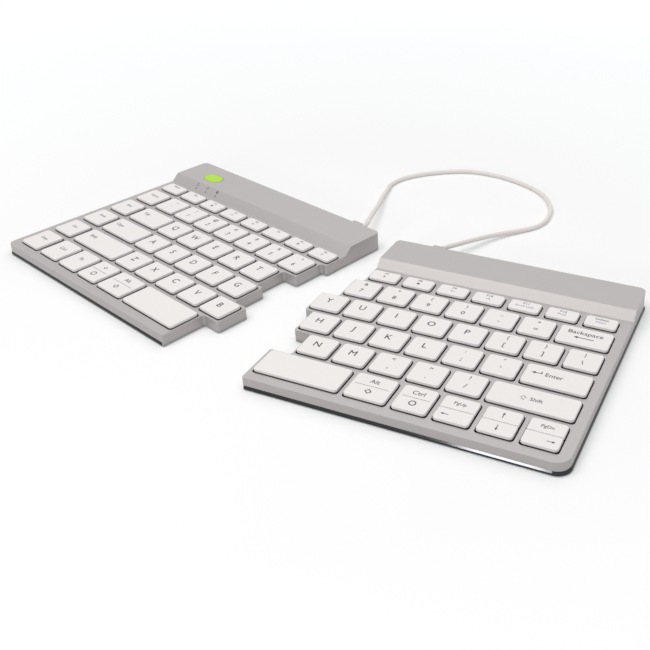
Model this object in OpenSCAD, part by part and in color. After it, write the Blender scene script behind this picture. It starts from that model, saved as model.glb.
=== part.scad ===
// Split keyboard: two flat halves with stepped inner edges, joined by one cord.
// Millimetres, +Z up, the table is z = 0 and the origin is the middle of the footprint.
// Each half is drawn in its own layout frame: x is counted in key columns from the grave key's left edge,
// y from the front edge of the lowest letter row. Both frames are then placed on the table.

/* [Keys] */
// distance between neighbouring letter keys
key_pitch = 19; // [18:0.25:20]
// share of a pitch that is left free beside a letter key
side_gap = 0.154; // [0.13:0.002:0.17]
// front to back size of a letter key
cap_depth = 14.6; // [13.6:0.1:15.2]
// front to back size of a bottom row key
bottom_depth = 17.1; // [16:0.1:18]
// front to back size of a function key
function_depth = 8.8; // [8.2:0.1:9.4]
// height of the keycaps above the deck
cap_rise = 1.6; // [1.4:0.1:2]
// how far a key goes down
key_travel = 1.6; // [1.2:0.1:1.7]
// free space between a keycap and its opening
cap_clearance = 0.4; // [0.3:0.05:0.5]

/* [Case] */
// height of the deck above the table
deck_height = 7; // [6.6:0.1:8]
// height of the rear bar above the table
bar_height = 11.2; // [10.6:0.1:13]
// thickness of the case walls
wall = 1.6; // [1.4:0.1:1.8]
// deck beside the outermost keys
outer_margin = 6.4; // [6.4:0.1:9]
// deck beside the keys on the stepped edge
inner_margin = 1.5; // [1.4:0.1:2]
// deck in front of the bottom row
front_margin = 6.4; // [4.5:0.1:8]
// deck between the function keys and the rear bar
bar_margin = 4.2; // [3:0.1:6]
// front to back size of the bar's slope
slope_depth = 4.6; // [3.5:0.1:6]
// front to back size of the bar's flat top
bar_depth = 23.4; // [22:0.1:28]
// radius of the right half's outer front corner
right_corner_radius = 7; // [5:0.5:9]
// radius of the left half's outer front corner
left_corner_radius = 4; // [3:0.5:9]
// height of the polished edge at the front and the outer side
polished_edge = 2.1; // [1.8:0.1:2.6]

/* [Cord] */
// diameter of the cord between the halves
cord_diameter = 2.8; // [2.4:0.1:3.4]
// length of each strain relief behind the case
boot_length = 6; // [5:0.5:9]

/* [Placing] */
// turn of the left half against the right half
left_turn = -17.4; // [-20:0.1:-15]

/* [Hidden] */
// table positions of the two layout frames
left_place = [-143.6, -21.7, 0];
right_place = [-102.2, -71.8, 0];

// stack of layers from the table up
foot_height = 0.5;
foot_radius = 4;
plate_height = 1.2;
base_top = foot_height + plate_height;
steel_height = 0.8;
sheet_bottom = base_top + steel_height;
sheet_height = 0.4;
sheet_top = sheet_bottom + sheet_height;
cap_top = deck_height + cap_rise;
cap_height = 2.6;
cap_bottom = cap_top - cap_height;
cap_roof = 1.2;
stem_length = 2.2;
cap_wall = 0.8;
cap_taper = 0.25;
cap_corner = 1.6;
dome_top = cap_top - cap_roof - stem_length;
dome_radius = 2.4;
small_dome_radius = 1.5;
dome_sides = 8;
stem_size = 2.4;
// the openings are cut this much further down than a pressed keycap reaches
pressed_gap = 0.5;
opening_bottom = cap_bottom - key_travel - pressed_gap;
opening_margin = cap_taper + cap_clearance;
link_thickness = 0.5;
link_height = 0.8;
link_angle = 14;
link_length = 11;
// free space below a link, beside it to the cap's wall and between the two of a pair
link_seat_gap = 0.05;
link_wall_gap = 0.3;
link_pair_gap = 0.25;
overlap = 0.2;
arc_steps = 3;

// rows are listed from the bottom row to the function row:
// first column, share of a pitch left free beside a key, front edge, depth, key widths in pitches
bottom_row_gap = 4;
function_row_gap = 4.6;
bottom_front = -bottom_depth - bottom_row_gap;
function_front = 3 * key_pitch + cap_depth + function_row_gap;
side_column = -1.075;
left_bottom_gap = 0.17;
right_bottom_gap = 0.18;
function_gap = 0.2;
left_rows = [
    [0, left_bottom_gap, bottom_front, bottom_depth, [1.02, 1.02, 1.02, 1.25, 2.37]],
    [0, side_gap, 0, cap_depth, [2.25, 1, 1, 1, 1, 1]],
    [0, side_gap, key_pitch, cap_depth, [1.75, 1, 1, 1, 1, 1]],
    [0, side_gap, 2 * key_pitch, cap_depth, [1.5, 1, 1, 1, 1, 1]],
    [0, side_gap, 3 * key_pitch, cap_depth, [1, 1, 1, 1, 1, 1, 1]],
    [side_column, function_gap, function_front, function_depth, [for (k = [1:8]) 1.04]]
];
right_rows = [
    [6.7, right_bottom_gap, bottom_front, bottom_depth, [2.45, 1.23, 1.03, 1.03, 1.03, 1.03]],
    [7.25, side_gap, 0, cap_depth, [1, 1, 1, 1, 1, 2.25]],
    [6.75, side_gap, key_pitch, cap_depth, [1, 1, 1, 1, 1, 1, 1.75]],
    [6.5, side_gap, 2 * key_pitch, cap_depth, [for (k = [1:8]) 1]],
    [7, side_gap, 3 * key_pitch, cap_depth, [1, 1, 1, 1, 1, 1, 1.5]],
    [7.27, function_gap, function_front, function_depth, [for (k = [1:7]) 1.033]]
];
row_count = len(left_rows);
last_row = row_count - 1;
// the right bottom row's last columns hold two half height keys each
half_key_count = 3;
first_half_key = len(right_rows[0][4]) - half_key_count;
half_key_gap = 0.7;
// radius of the two corners that face the other half height key
half_key_corner = 0.4;

function last_of(list) = list[len(list) - 1];
function sum_before(list, count) = count == 0 ? 0 : list[count - 1] + sum_before(list, count - 1);

// a key is [left edge, front edge, width, depth] of its top face;
// a half height key also has its own list of corner radii, from the front left corner on
function row_key(rows, row, k) = [
    (rows[row][0] + sum_before(rows[row][4], k)) * key_pitch,
    rows[row][2],
    (rows[row][4][k] - rows[row][1]) * key_pitch,
    rows[row][3]
];
function side_key(row) = [
    side_column * key_pitch,
    left_rows[row][2],
    (1 - side_gap) * key_pitch,
    left_rows[row][3]
];
function half_key(column, upper) =
    let (
        whole = row_key(right_rows, 0, column),
        depth = (whole[3] - half_key_gap) / 2
    )
    [
        whole[0],
        whole[1] + (upper ? depth + half_key_gap : 0),
        whole[2],
        depth,
        upper ?
            [half_key_corner, half_key_corner, cap_corner, cap_corner] :
            [cap_corner, cap_corner, half_key_corner, half_key_corner]
    ];
function row_keys(rows, row) = [for (k = [0:len(rows[row][4]) - 1]) row_key(rows, row, k)];
function all_rows(rows) = [for (row = [0:last_row]) each row_keys(rows, row)];

arrow_list = [
    for (column = [first_half_key:first_half_key + half_key_count - 1])
        for (upper = [false, true])
            half_key(column, upper)
];
left_openings = concat(all_rows(left_rows), [for (row = [0:last_row - 1]) side_key(row)]);
right_openings = all_rows(right_rows);
left_keys = left_openings;
right_keys = concat(
    [for (k = [0:first_half_key - 1]) row_key(right_rows, 0, k)],
    [for (row = [1:last_row]) each row_keys(right_rows, row)],
    arrow_list
);

function right_end(key) = key[0] + key[2];
function equal_radii(radius) = [radius, radius, radius, radius];
function cap_radii(key) = len(key) > 4 ? key[4] : equal_radii(cap_corner);

// edges of a half in its layout frame
front_edge = bottom_front - front_margin;
slope_foot = function_front + function_depth + bar_margin;
slope_top = slope_foot + slope_depth;
back_edge = slope_top + bar_depth;
left_outer = side_column * key_pitch - outer_margin;
right_outer = max([for (row = [0:last_row]) right_end(last_of(row_keys(right_rows, row)))]) + outer_margin;
// a half is [rows, outer edge, direction from the outer edge to the stepped edge]
left_half = [left_rows, left_outer, 1];
right_half = [right_rows, right_outer, -1];

// the right space bar leaves more of the deck free beside it than the other keys
space_margin = 2.45;
function step_margin(half, row) = half[2] < 0 && row == 0 ? space_margin : inner_margin;
function step_edge(half, row) =
    let (keys = row_keys(half[0], row))
    (half[2] > 0 ? right_end(last_of(keys)) : keys[0][0]) + half[2] * step_margin(half, row);
function half_width(half) = max([for (row = [0:last_row]) abs(step_edge(half, row) - half[1])]);
function low_x(half) = min(half[1], half[1] + half[2] * half_width(half));
// a place in a half, counted inwards from its outer edge or from the stepped edge of a row
function from_outer(half, inset) = half[1] + half[2] * inset;
function from_step(half, row, inset) = step_edge(half, row) - half[2] * inset;
function row_border(half, row) = (half[0][row - 1][2] + half[0][row - 1][3] + half[0][row][2]) / 2;
function steps_out(half, row) = half[2] * (step_edge(half, row) - step_edge(half, row - 1)) > 0;
// the border below a row, moved into the half's body by inset
function border(half, row, inset) =
    row == 0 ? front_edge + inset :
    row > last_row ? back_edge - inset :
    row_border(half, row) + (steps_out(half, row) ? inset : -inset);
function outline(half, inset) = concat(
    [[half[1] + half[2] * inset, border(half, 0, inset)]],
    [for (row = [0:last_row]) for (end = [0, 1])
        [step_edge(half, row) - half[2] * inset, border(half, row + end, inset)]],
    [[half[1] + half[2] * inset, border(half, last_row + 1, inset)]]
);
// the other corners' radii: outer rear corner, then along the stepped edge
rear_radius = 3.5;
front_step_radius = 1;
step_radius = 1.2;
rear_step_radius = 2.5;
function outer_corner_radius(half) = half[2] > 0 ? left_corner_radius : right_corner_radius;
function outline_radii(half, inset) = concat(
    [outer_corner_radius(half) - inset, front_step_radius],
    [for (k = [1:2 * last_row]) step_radius],
    [rear_step_radius, rear_radius - inset]
);

function unit(v) = v / norm(v);
// rounds the right-angled corners of a list of points
function rounded(points, radii) = [
    for (k = [0:len(points) - 1])
        let (
            here = points[k],
            back = unit(points[(k + len(points) - 1) % len(points)] - here),
            ahead = unit(points[(k + 1) % len(points)] - here),
            centre = here + (back + ahead) * radii[k]
        )
        for (step = [0:arc_steps])
            centre - radii[k] * (ahead * cos(90 * step / arc_steps) + back * sin(90 * step / arc_steps))
];

module half_plan(half, inset) {
    polygon(rounded(outline(half, inset), outline_radii(half, inset)));
}

module rounded_block(x, y, width, depth, radii, bottom, top) {
    corners = [[x, y], [x + width, y], [x + width, y + depth], [x, y + depth]];
    translate([0, 0, bottom])
        linear_extrude(top - bottom)
            polygon(rounded(corners, radii));
}

// a prism along x with the given outline in y and z
module along_x(start, length, points) {
    translate([start, 0, 0])
        rotate([90, 0, 90])
            linear_extrude(length)
                polygon(points);
}

// a prism along y with the given outline in x and z
module along_y(start, length, points) {
    translate([0, start + length, 0])
        rotate([90, 0, 0])
            linear_extrude(length)
                polygon(points);
}

module on_left() {
    translate(left_place)
        rotate([0, 0, left_turn])
            children();
}

module on_right() {
    translate(right_place)
        children();
}

// Fastenings and fittings, in each half's layout frame
boss_radius = 1.9;
boss_hole_radius = 0.8;
screw_radius = 0.7;
screw_head_radius = 1.5;
screw_head_height = 0.6;
screw_gap = 0.3;
screw_length = 4;
screw_tip = foot_height + screw_length;
screw_tip_gap = 0.4;
boss_wall_gap = 0.2;
boss_inset = wall + boss_wall_gap + boss_radius;
bar_middle = slope_top + bar_depth / 2;
bar_screw_inset = 7.4;
function screw_places(half) = [
    [from_outer(half, boss_inset), bottom_front + bottom_depth / 2],
    [from_outer(half, boss_inset), 3 * key_pitch + cap_depth / 2],
    [from_outer(half, bar_screw_inset), bar_middle],
    [from_step(half, last_row, bar_screw_inset), bar_middle]
];
foot_side_inset = 11.2;
foot_end_inset = 6;
function foot_places(half) = [
    for (row = [0, last_row])
        let (y = row == 0 ? front_edge + foot_end_inset : back_edge - foot_end_inset)
        for (x = [from_outer(half, foot_side_inset), from_step(half, row, foot_side_inset)])
            [x, y]
];

boot_radius = 1.9;
boot_height = 7;
left_boot_inset = 18.8;
right_boot_inset = 24.9;
left_boot_x = from_step(left_half, last_row, left_boot_inset);
right_boot_x = from_step(right_half, last_row, right_boot_inset);
boot_gap = 0.1;
flange_radius = 2.5;
flange_length = 1;
// a collar on the rear wall holds each boot: its width, how far it stands out, and its height
collar_size = [7, 1.9, 6.8];
collar_corner = 1;
collar_seat = 1.2;
// the boot gets thinner at these shares of its length
boot_steps = [0.4, 0.7, 1];

board_bottom = 4;
board_height = 1;
board_top = board_bottom + board_height;
board_depth = 14;
board_gap = 0.4;
board_back = back_edge - wall - board_gap;
rib_depth = 2;
battery_size = [34, 16, 5];
battery_boot_gap = 10.5;
battery_x = left_boot_x - battery_boot_gap - battery_size[0];
battery_board_gap = 6;
board_inset = 15.2;
board_boot_gap = 8.5;
right_board_length = 60;
// a board is [left edge, length]
left_board_x = from_outer(left_half, board_inset);
left_board = [left_board_x, battery_x - battery_board_gap - left_board_x];
right_board = [right_boot_x + board_boot_gap, right_board_length];

// places of the socket and the switch along the left board
socket_offset = 54;
switch_offset = 28;
socket_x = left_board_x + socket_offset;
socket_size = [9, 7.4, 3.2];
socket_wall = 0.4;
socket_back = 1.4;
socket_gap = 0.3;
switch_x = left_board_x + switch_offset;
switch_travel = 2;
// width, how far it stands out behind the wall, height
switch_knob = [3.4, 1.1, 2];
switch_shoe = [9, 1, 3];
switch_gap = 0.1;
switch_height = board_top + switch_gap + switch_shoe[2] / 2;

lens_inset = 26.4;
lens_x = from_outer(left_half, lens_inset);
lens_slope_gap = 9.4;
lens_y = slope_top + lens_slope_gap;
lens_size = [14, 9];
lens_gap = 0.2;
lens_rise = 0.2;

// Case pieces
module profile(half, inset, bottom) {
    slope_angle = atan2(bar_height - deck_height, slope_depth);
    slope_shift = inset * tan(slope_angle / 2);
    along_x(low_x(half) - overlap, half_width(half) + 2 * overlap, [
        [front_edge + inset, bottom],
        [front_edge + inset, deck_height - inset],
        [slope_foot + slope_shift, deck_height - inset],
        [slope_top + slope_shift, bar_height - inset],
        [back_edge - inset, bar_height - inset],
        [back_edge - inset, bottom]
    ]);
}

// the strip along the front and the outer side where the base plate's edge is polished;
// it ends a little before the corner of the stepped edge
strip_end_inset = 1;
module polished_zone(half, bottom, top) {
    end = from_step(half, 0, strip_end_inset);
    intersection() {
        translate([0, 0, bottom])
            linear_extrude(top - bottom)
                half_plan(half, 0);
        union() {
            translate([min(half[1], end), front_edge, bottom])
                cube([abs(end - half[1]), wall, top - bottom]);
            translate([half[2] > 0 ? half[1] : half[1] - wall, front_edge, bottom])
                cube([wall, back_edge - front_edge - rear_radius, top - bottom]);
        }
    }
}

function roof_height(at) = at[1] > slope_top ? bar_height : deck_height;

module case_shell(half, openings, boot_x) {
    screws = screw_places(half);
    difference() {
        union() {
            difference() {
                intersection() {
                    translate([0, 0, base_top])
                        linear_extrude(bar_height - base_top)
                            half_plan(half, 0);
                    profile(half, 0, base_top);
                }
                intersection() {
                    translate([0, 0, base_top - overlap])
                        linear_extrude(bar_height)
                            half_plan(half, wall);
                    profile(half, wall, base_top - overlap);
                }
            }
            for (at = screws)
                translate([at[0], at[1], base_top])
                    cylinder(r = boss_radius, h = roof_height(at) - base_top - wall / 2);
            rounded_block(
                boot_x - collar_size[0] / 2, back_edge - collar_seat,
                collar_size[0], collar_size[1] + collar_seat,
                equal_radii(collar_corner), bar_height - collar_size[2], bar_height
            );
        }
        for (key = openings)
            rounded_block(
                key[0] - opening_margin, key[1] - opening_margin,
                key[2] + 2 * opening_margin, key[3] + 2 * opening_margin,
                equal_radii(cap_corner), opening_bottom, deck_height + overlap
            );
        for (at = screws)
            translate([at[0], at[1], base_top - overlap])
                cylinder(r = boss_hole_radius, h = screw_tip + screw_tip_gap - base_top + overlap);
        polished_zone(half, base_top - overlap, foot_height + polished_edge);
        translate([boot_x, back_edge + collar_size[1] + overlap, boot_height])
            rotate([90, 0, 0])
                cylinder(r = boot_radius + boot_gap, h = wall + collar_size[1] + 2 * overlap);
    }
}

module left_top_case() {
    color("silver")
        on_left()
            difference() {
                case_shell(left_half, left_openings, left_boot_x);
                translate([socket_x - socket_size[0] / 2 - socket_gap, back_edge - wall - overlap,
                           board_top - socket_gap])
                    cube([socket_size[0] + 2 * socket_gap, wall + 2 * overlap,
                          socket_size[2] + 2 * socket_gap]);
                translate([switch_x - switch_knob[0] / 2 - socket_gap, back_edge - wall - overlap,
                           switch_height - switch_knob[2] / 2 - socket_gap])
                    cube([switch_knob[0] + switch_travel + 2 * socket_gap, wall + 2 * overlap,
                          switch_knob[2] + 2 * socket_gap]);
                rounded_block(
                    lens_x - lens_size[0] / 2 - lens_gap, lens_y - lens_size[1] / 2 - lens_gap,
                    lens_size[0] + 2 * lens_gap, lens_size[1] + 2 * lens_gap,
                    equal_radii(lens_size[1] / 2), bar_height - wall - overlap, bar_height + overlap
                );
            }
}

module right_top_case() {
    color("silver")
        on_right()
            case_shell(right_half, right_openings, right_boot_x);
}

module base_plate(half, board) {
    difference() {
        union() {
            translate([0, 0, foot_height])
                linear_extrude(plate_height)
                    half_plan(half, 0);
            polished_zone(half, base_top - overlap, foot_height + polished_edge);
            for (y = [board_back - board_depth, board_back - rib_depth])
                translate([board[0], y, base_top - overlap])
                    cube([board[1], rib_depth, board_bottom - base_top + overlap]);
        }
        for (at = screw_places(half))
            translate([at[0], at[1], 0]) {
                cylinder(r = screw_radius + screw_gap, h = base_top + overlap);
                cylinder(r = screw_head_radius + screw_gap, h = foot_height + screw_head_height);
            }
    }
}

module left_base_plate() {
    color("dimgray") on_left() base_plate(left_half, left_board);
}

module right_base_plate() {
    color("dimgray") on_right() base_plate(right_half, right_board);
}

// Key field below the deck
plate_gap = 0.4;
low_key_depth = (cap_depth + function_depth) / 2;

module key_field(half, bottom, top) {
    width = half_width(half) - outer_margin;
    intersection() {
        translate([0, 0, bottom])
            linear_extrude(top - bottom)
                half_plan(half, wall + plate_gap);
        translate([low_x(half) + (half[2] > 0 ? outer_margin : 0), front_edge, bottom])
            cube([width, slope_foot - front_edge, top - bottom]);
    }
}

module left_key_plate() {
    color("lightsteelblue") on_left() key_field(left_half, base_top, sheet_bottom);
}

module right_key_plate() {
    color("lightsteelblue") on_right() key_field(right_half, base_top, sheet_bottom);
}

module dome_sheet(half, keys) {
    key_field(half, sheet_bottom, sheet_top);
    for (key = keys)
        translate([key[0] + key[2] / 2, key[1] + key[3] / 2, sheet_top - overlap])
            linear_extrude(dome_top - sheet_top + overlap)
                circle(r = key[3] < low_key_depth ? small_dome_radius : dome_radius, $fn = dome_sides);
}

module left_dome_sheet() {
    color("whitesmoke") on_left() dome_sheet(left_half, left_keys);
}

module right_dome_sheet() {
    color("whitesmoke") on_right() dome_sheet(right_half, right_keys);
}

// two pairs of crossed bars carry each keycap, one pair behind the dome and one in front of it
link_rise = link_length * sin(link_angle) + link_height * cos(link_angle);
link_middle = sheet_top + link_seat_gap + link_rise / 2;

module key_links(key) {
    outer = key[3] / 2 - cap_wall - link_wall_gap - link_thickness / 2;
    inner = outer - link_thickness - link_pair_gap;
    for (side = [-1, 1])
        translate([key[0] + key[2] / 2, key[1] + key[3] / 2, link_middle]) {
            translate([0, side * outer, 0])
                rotate([0, link_angle, 0])
                    cube([link_length, link_thickness, link_height], center = true);
            translate([0, side * inner, 0])
                rotate([0, -link_angle, 0])
                    cube([link_length, link_thickness, link_height], center = true);
        }
}

module left_scissor_links() {
    color("white") on_left() for (key = left_keys) key_links(key);
}

module right_scissor_links() {
    color("white") on_right() for (key = right_keys) key_links(key);
}

// Keycaps
function tapered(size) = [
    [-cap_taper, cap_bottom], [size + cap_taper, cap_bottom], [size, cap_top], [0, cap_top]
];

module cap(key) {
    width = key[2];
    depth = key[3];
    ceiling = cap_top - cap_roof;
    reach = cap_taper + overlap;
    translate([key[0], key[1], 0]) {
        difference() {
            intersection() {
                rounded_block(-cap_taper, -cap_taper, width + 2 * cap_taper, depth + 2 * cap_taper,
                              cap_radii(key), cap_bottom, cap_top);
                along_y(-reach, depth + 2 * reach, tapered(width));
                along_x(-reach, width + 2 * reach, tapered(depth));
            }
            translate([cap_wall, cap_wall, cap_bottom - overlap])
                cube([width - 2 * cap_wall, depth - 2 * cap_wall, ceiling - cap_bottom + overlap]);
        }
        translate([(width - stem_size) / 2, (depth - stem_size) / 2, dome_top])
            cube([stem_size, stem_size, ceiling - dome_top + overlap]);
    }
}

module left_caps(row, first, last) {
    color("white") on_left() for (k = [first:last]) cap(row_key(left_rows, row, k));
}

module right_caps(row, first, last) {
    color("white") on_right() for (k = [first:last]) cap(row_key(right_rows, row, k));
}

// letter keys of each row from the bottom row up; on the left half one wider key stands before them
left_letters = ["", "zxcvb", "asdfg", "qwert"];
right_letters = ["", "nm", "hjkl", "yuiop"];

module left_space_bar() {
    left_caps(0, 4, 4);
}

module right_space_bar() {
    right_caps(0, 0, 0);
}

module left_function_keys() {
    left_caps(5, 0, 7);
}

module left_number_keys() {
    left_caps(4, 0, 6);
}

module left_modifier_keys() {
    left_caps(0, 0, 3);
    left_caps(1, 0, 0);
    left_caps(2, 0, 0);
    left_caps(3, 0, 0);
    color("white") on_left() for (row = [0:last_row - 1]) cap(side_key(row));
}

module right_function_keys() {
    right_caps(5, 0, 6);
}

module right_number_keys() {
    right_caps(4, 0, 5);
}

module right_symbol_keys() {
    right_caps(3, 5, 7);
    right_caps(2, 4, 5);
    right_caps(1, 2, 4);
}

module right_modifier_keys() {
    right_caps(0, 1, 2);
    right_caps(1, 5, 5);
    right_caps(2, 6, 6);
    right_caps(4, 6, 6);
}

module arrow_keys() {
    color("white") on_right() for (key = arrow_list) cap(key);
}

// Boards, battery, socket, switch and lens in the rear bars
module board(place) {
    translate([place[0], board_back - board_depth, board_bottom])
        cube([place[1], board_depth, board_height]);
}

module left_circuit_board() {
    color("green") on_left() board(left_board);
}

module right_circuit_board() {
    color("green") on_right() board(right_board);
}

module battery() {
    color("gray")
        on_left()
            translate([battery_x, bar_middle - battery_size[1] / 2, base_top])
                cube(battery_size);
}

module charge_socket() {
    color("darkgray")
        on_left()
            translate([socket_x - socket_size[0] / 2, back_edge - socket_size[1], board_top])
                difference() {
                    cube(socket_size);
                    translate([socket_wall, socket_back, socket_wall])
                        cube([socket_size[0] - 2 * socket_wall, socket_size[1],
                              socket_size[2] - 2 * socket_wall]);
                }
}

module power_switch() {
    color("black")
        on_left() {
            translate([switch_x - switch_knob[0] / 2, back_edge - wall - socket_gap - overlap,
                       switch_height - switch_knob[2] / 2])
                cube([switch_knob[0], wall + socket_gap + overlap + switch_knob[1], switch_knob[2]]);
            translate([switch_x - switch_shoe[0] / 2, back_edge - wall - socket_gap - switch_shoe[1],
                       switch_height - switch_shoe[2] / 2])
                cube(switch_shoe);
        }
}

module indicator_lens() {
    color("green")
        on_left()
            rounded_block(
                lens_x - lens_size[0] / 2, lens_y - lens_size[1] / 2, lens_size[0], lens_size[1],
                equal_radii(lens_size[1] / 2 - lens_gap), bar_height - wall, bar_height + lens_rise
            );
}

// Feet and screws
module feet(places) {
    for (at = places)
        translate([at[0], at[1], 0])
            cylinder(r = foot_radius, h = foot_height);
}

module left_feet() {
    color("black") on_left() feet(foot_places(left_half));
}

module right_feet() {
    color("black") on_right() feet(foot_places(right_half));
}

module case_screws(places) {
    for (at = places)
        translate([at[0], at[1], foot_height]) {
            cylinder(r = screw_head_radius, h = screw_head_height);
            cylinder(r = screw_radius, h = screw_length);
        }
}

module left_case_screws() {
    color("gray") on_left() case_screws(screw_places(left_half));
}

module right_case_screws() {
    color("gray") on_right() case_screws(screw_places(right_half));
}

// Strain reliefs: a flange inside the rear wall and a boot that gets thinner in steps behind the collar
module cord_gland(x) {
    step = (boot_radius - cord_diameter / 2) / len(boot_steps);
    translate([x, back_edge - wall - flange_length, boot_height])
        rotate([-90, 0, 0]) {
            cylinder(r = flange_radius, h = flange_length);
            for (k = [0:len(boot_steps) - 1])
                cylinder(r = boot_radius - k * step, h = flange_length + wall + boot_steps[k] * boot_length);
        }
}

module left_cord_gland() {
    color("whitesmoke") on_left() cord_gland(left_boot_x);
}

module right_cord_gland() {
    color("whitesmoke") on_right() cord_gland(right_boot_x);
}

// Cord: comes down from both collars to the table and lies there in one open loop behind the halves
function turned(p) = [
    p[0] * cos(left_turn) - p[1] * sin(left_turn),
    p[0] * sin(left_turn) + p[1] * cos(left_turn),
    p[2]
];
cord_start = left_place + turned([left_boot_x, back_edge + boot_length, boot_height]);
start_direction = turned([0, 1, 0]);
cord_end = right_place + [right_boot_x, back_edge + boot_length, boot_height];
end_direction = [0, -1, 0];
cord_radius = cord_diameter / 2;
exit_straight = 2;
// the cord's middle as seen in the photo: down from the left half, along the table, up to the right half
fall_points = [[1.8, 77.2, 6.5], [-2.2, 94, 4.8], [-6.9, 110.5, 3], [-10.2, 125, 1.8]];
loop_points = [
    [-11.6, 134], [-8.5, 145], [0, 156], [9, 163.5], [18.5, 169.5], [28.5, 173.5], [40, 174.5], [55, 172.5],
    [72, 166], [86, 156], [95, 142.5], [98.5, 131], [99, 119], [95, 108.5]
];
rise_points = [[84.8, 96.7, 1.9], [76.6, 85, 3.4], [71.3, 74.7, 5], [66, 64.3, 6.3]];
route = concat(
    [cord_start, cord_start + exit_straight * start_direction],
    fall_points,
    [for (p = loop_points) [p[0], p[1], cord_radius]],
    rise_points,
    [cord_end - exit_straight * end_direction, cord_end]
);
samples_per_span = 2;
function smooth(a, b, c, d, t) =
    ((2 * b) + (c - a) * t + (2 * a - 5 * b + 4 * c - d) * t * t + (3 * b - a - 3 * c + d) * t * t * t) / 2;
function route_point(k) = route[max(0, min(len(route) - 1, k))];
path = concat(
    [for (k = [0:len(route) - 2])
        for (sample = [0:samples_per_span - 1])
            smooth(route_point(k - 1), route_point(k), route_point(k + 1), route_point(k + 2),
                   sample / samples_per_span)],
    [cord_end]
);
last = len(path) - 1;
function heading(k) =
    k == 0 ? start_direction :
    k == last ? end_direction :
    unit(path[k + 1] - path[k - 1]);
cord_sides = 8;
function ring(k) =
    let (
        along = heading(k),
        across = unit(cross(along, [0, 0, 1])),
        up = cross(across, along)
    )
    [for (side = [0:cord_sides - 1])
        path[k] + cord_radius * (across * cos(360 * side / cord_sides) + up * sin(360 * side / cord_sides))];

module link_cord() {
    points = [for (k = [0:last]) each ring(k)];
    sides = [for (k = [0:last - 1]) for (side = [0:cord_sides - 1])
        let (
            here = k * cord_sides,
            beyond = here + cord_sides,
            next = (side + 1) % cord_sides
        )
        [here + side, here + next, beyond + next, beyond + side]];
    first_cap = [for (side = [cord_sides - 1:-1:0]) side];
    last_cap = [for (side = [0:cord_sides - 1]) last * cord_sides + side];
    color("whitesmoke")
        polyhedron(points = points, faces = concat(sides, [first_cap], [last_cap]), convexity = 10);
}

right_top_case();
right_base_plate();
right_key_plate();
right_dome_sheet();
right_scissor_links();
right_circuit_board();
right_feet();
right_case_screws();
right_cord_gland();
left_top_case();
left_base_plate();
left_key_plate();
left_dome_sheet();
left_scissor_links();
left_circuit_board();
left_feet();
left_case_screws();
left_cord_gland();
battery();
charge_socket();
power_switch();
indicator_lens();
link_cord();
left_space_bar();
right_space_bar();
left_function_keys();
left_number_keys();
left_modifier_keys();
right_function_keys();
right_number_keys();
right_symbol_keys();
right_modifier_keys();
arrow_keys();
for (row = [1:len(left_letters) - 1])
    for (k = [0:len(left_letters[row]) - 1])
        left_caps(row, k + 1, k + 1);
for (row = [1:len(right_letters) - 1])
    for (k = [0:len(right_letters[row]) - 1])
        right_caps(row, k, k);
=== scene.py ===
"""Looks of a flat split keyboard: two halves with stepped inner edges, joined by one cord.

Everything is in metres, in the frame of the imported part. Each half is drawn in its own layout frame,
where x is counted from the left edge of the number row's first key and y from the front edge of the
lowest letter row. The finished meshes are then placed on the table.
"""

import logging
import math
from collections.abc import Callable, Iterable, Sequence
from dataclasses import dataclass
from enum import Enum
from typing import Any

import bmesh
import bpy
from mathutils import Matrix, Vector


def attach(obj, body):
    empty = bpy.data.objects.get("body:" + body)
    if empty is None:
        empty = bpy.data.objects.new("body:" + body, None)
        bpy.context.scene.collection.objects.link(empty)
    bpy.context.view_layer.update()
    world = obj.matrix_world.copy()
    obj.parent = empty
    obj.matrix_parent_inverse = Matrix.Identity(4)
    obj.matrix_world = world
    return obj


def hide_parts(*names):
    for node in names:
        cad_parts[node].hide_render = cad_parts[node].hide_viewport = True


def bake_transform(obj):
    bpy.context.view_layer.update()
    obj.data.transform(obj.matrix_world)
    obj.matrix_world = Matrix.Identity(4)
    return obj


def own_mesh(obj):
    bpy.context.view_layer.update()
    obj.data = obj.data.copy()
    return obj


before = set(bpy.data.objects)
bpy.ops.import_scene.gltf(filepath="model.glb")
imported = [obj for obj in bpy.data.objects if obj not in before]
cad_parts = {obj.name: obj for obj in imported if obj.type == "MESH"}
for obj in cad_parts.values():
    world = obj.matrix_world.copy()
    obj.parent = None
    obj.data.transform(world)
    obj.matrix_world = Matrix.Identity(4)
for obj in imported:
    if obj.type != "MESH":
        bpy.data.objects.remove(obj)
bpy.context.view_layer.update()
LOG = logging.getLogger("split_keyboard")
MM = 0.001
# how far a cutting shape reaches past the faces that it cuts
PAST = 0.2 * MM
Pair = tuple[float, float]
Point = tuple[float, float]
Spot = tuple[float, float, float]
Extent = tuple[float, float, float]
Colour = tuple[float, float, float]


class Side(Enum):
    """The two halves, as the part names them."""

    LEFT = "left"
    RIGHT = "right"


class Operation(Enum):
    """How one solid changes another."""

    CUT = "DIFFERENCE"
    JOIN = "UNION"


class Sign(Enum):
    """Drawn signs on the keys and the left rear bar."""

    BACK = "arrow to the left"
    AHEAD = "arrow to the right"
    UP = "arrow up"
    DOWN = "arrow down"
    RETURN = "bent arrow"
    SHIFT = "open arrow up"
    BAR = "dividing line"
    RING = "open ring"
    DIAMOND = "open diamond"
    PLAY = "triangle"
    STOP = "square"
    DOT = "disc"


# Sizes and the key layout


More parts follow.
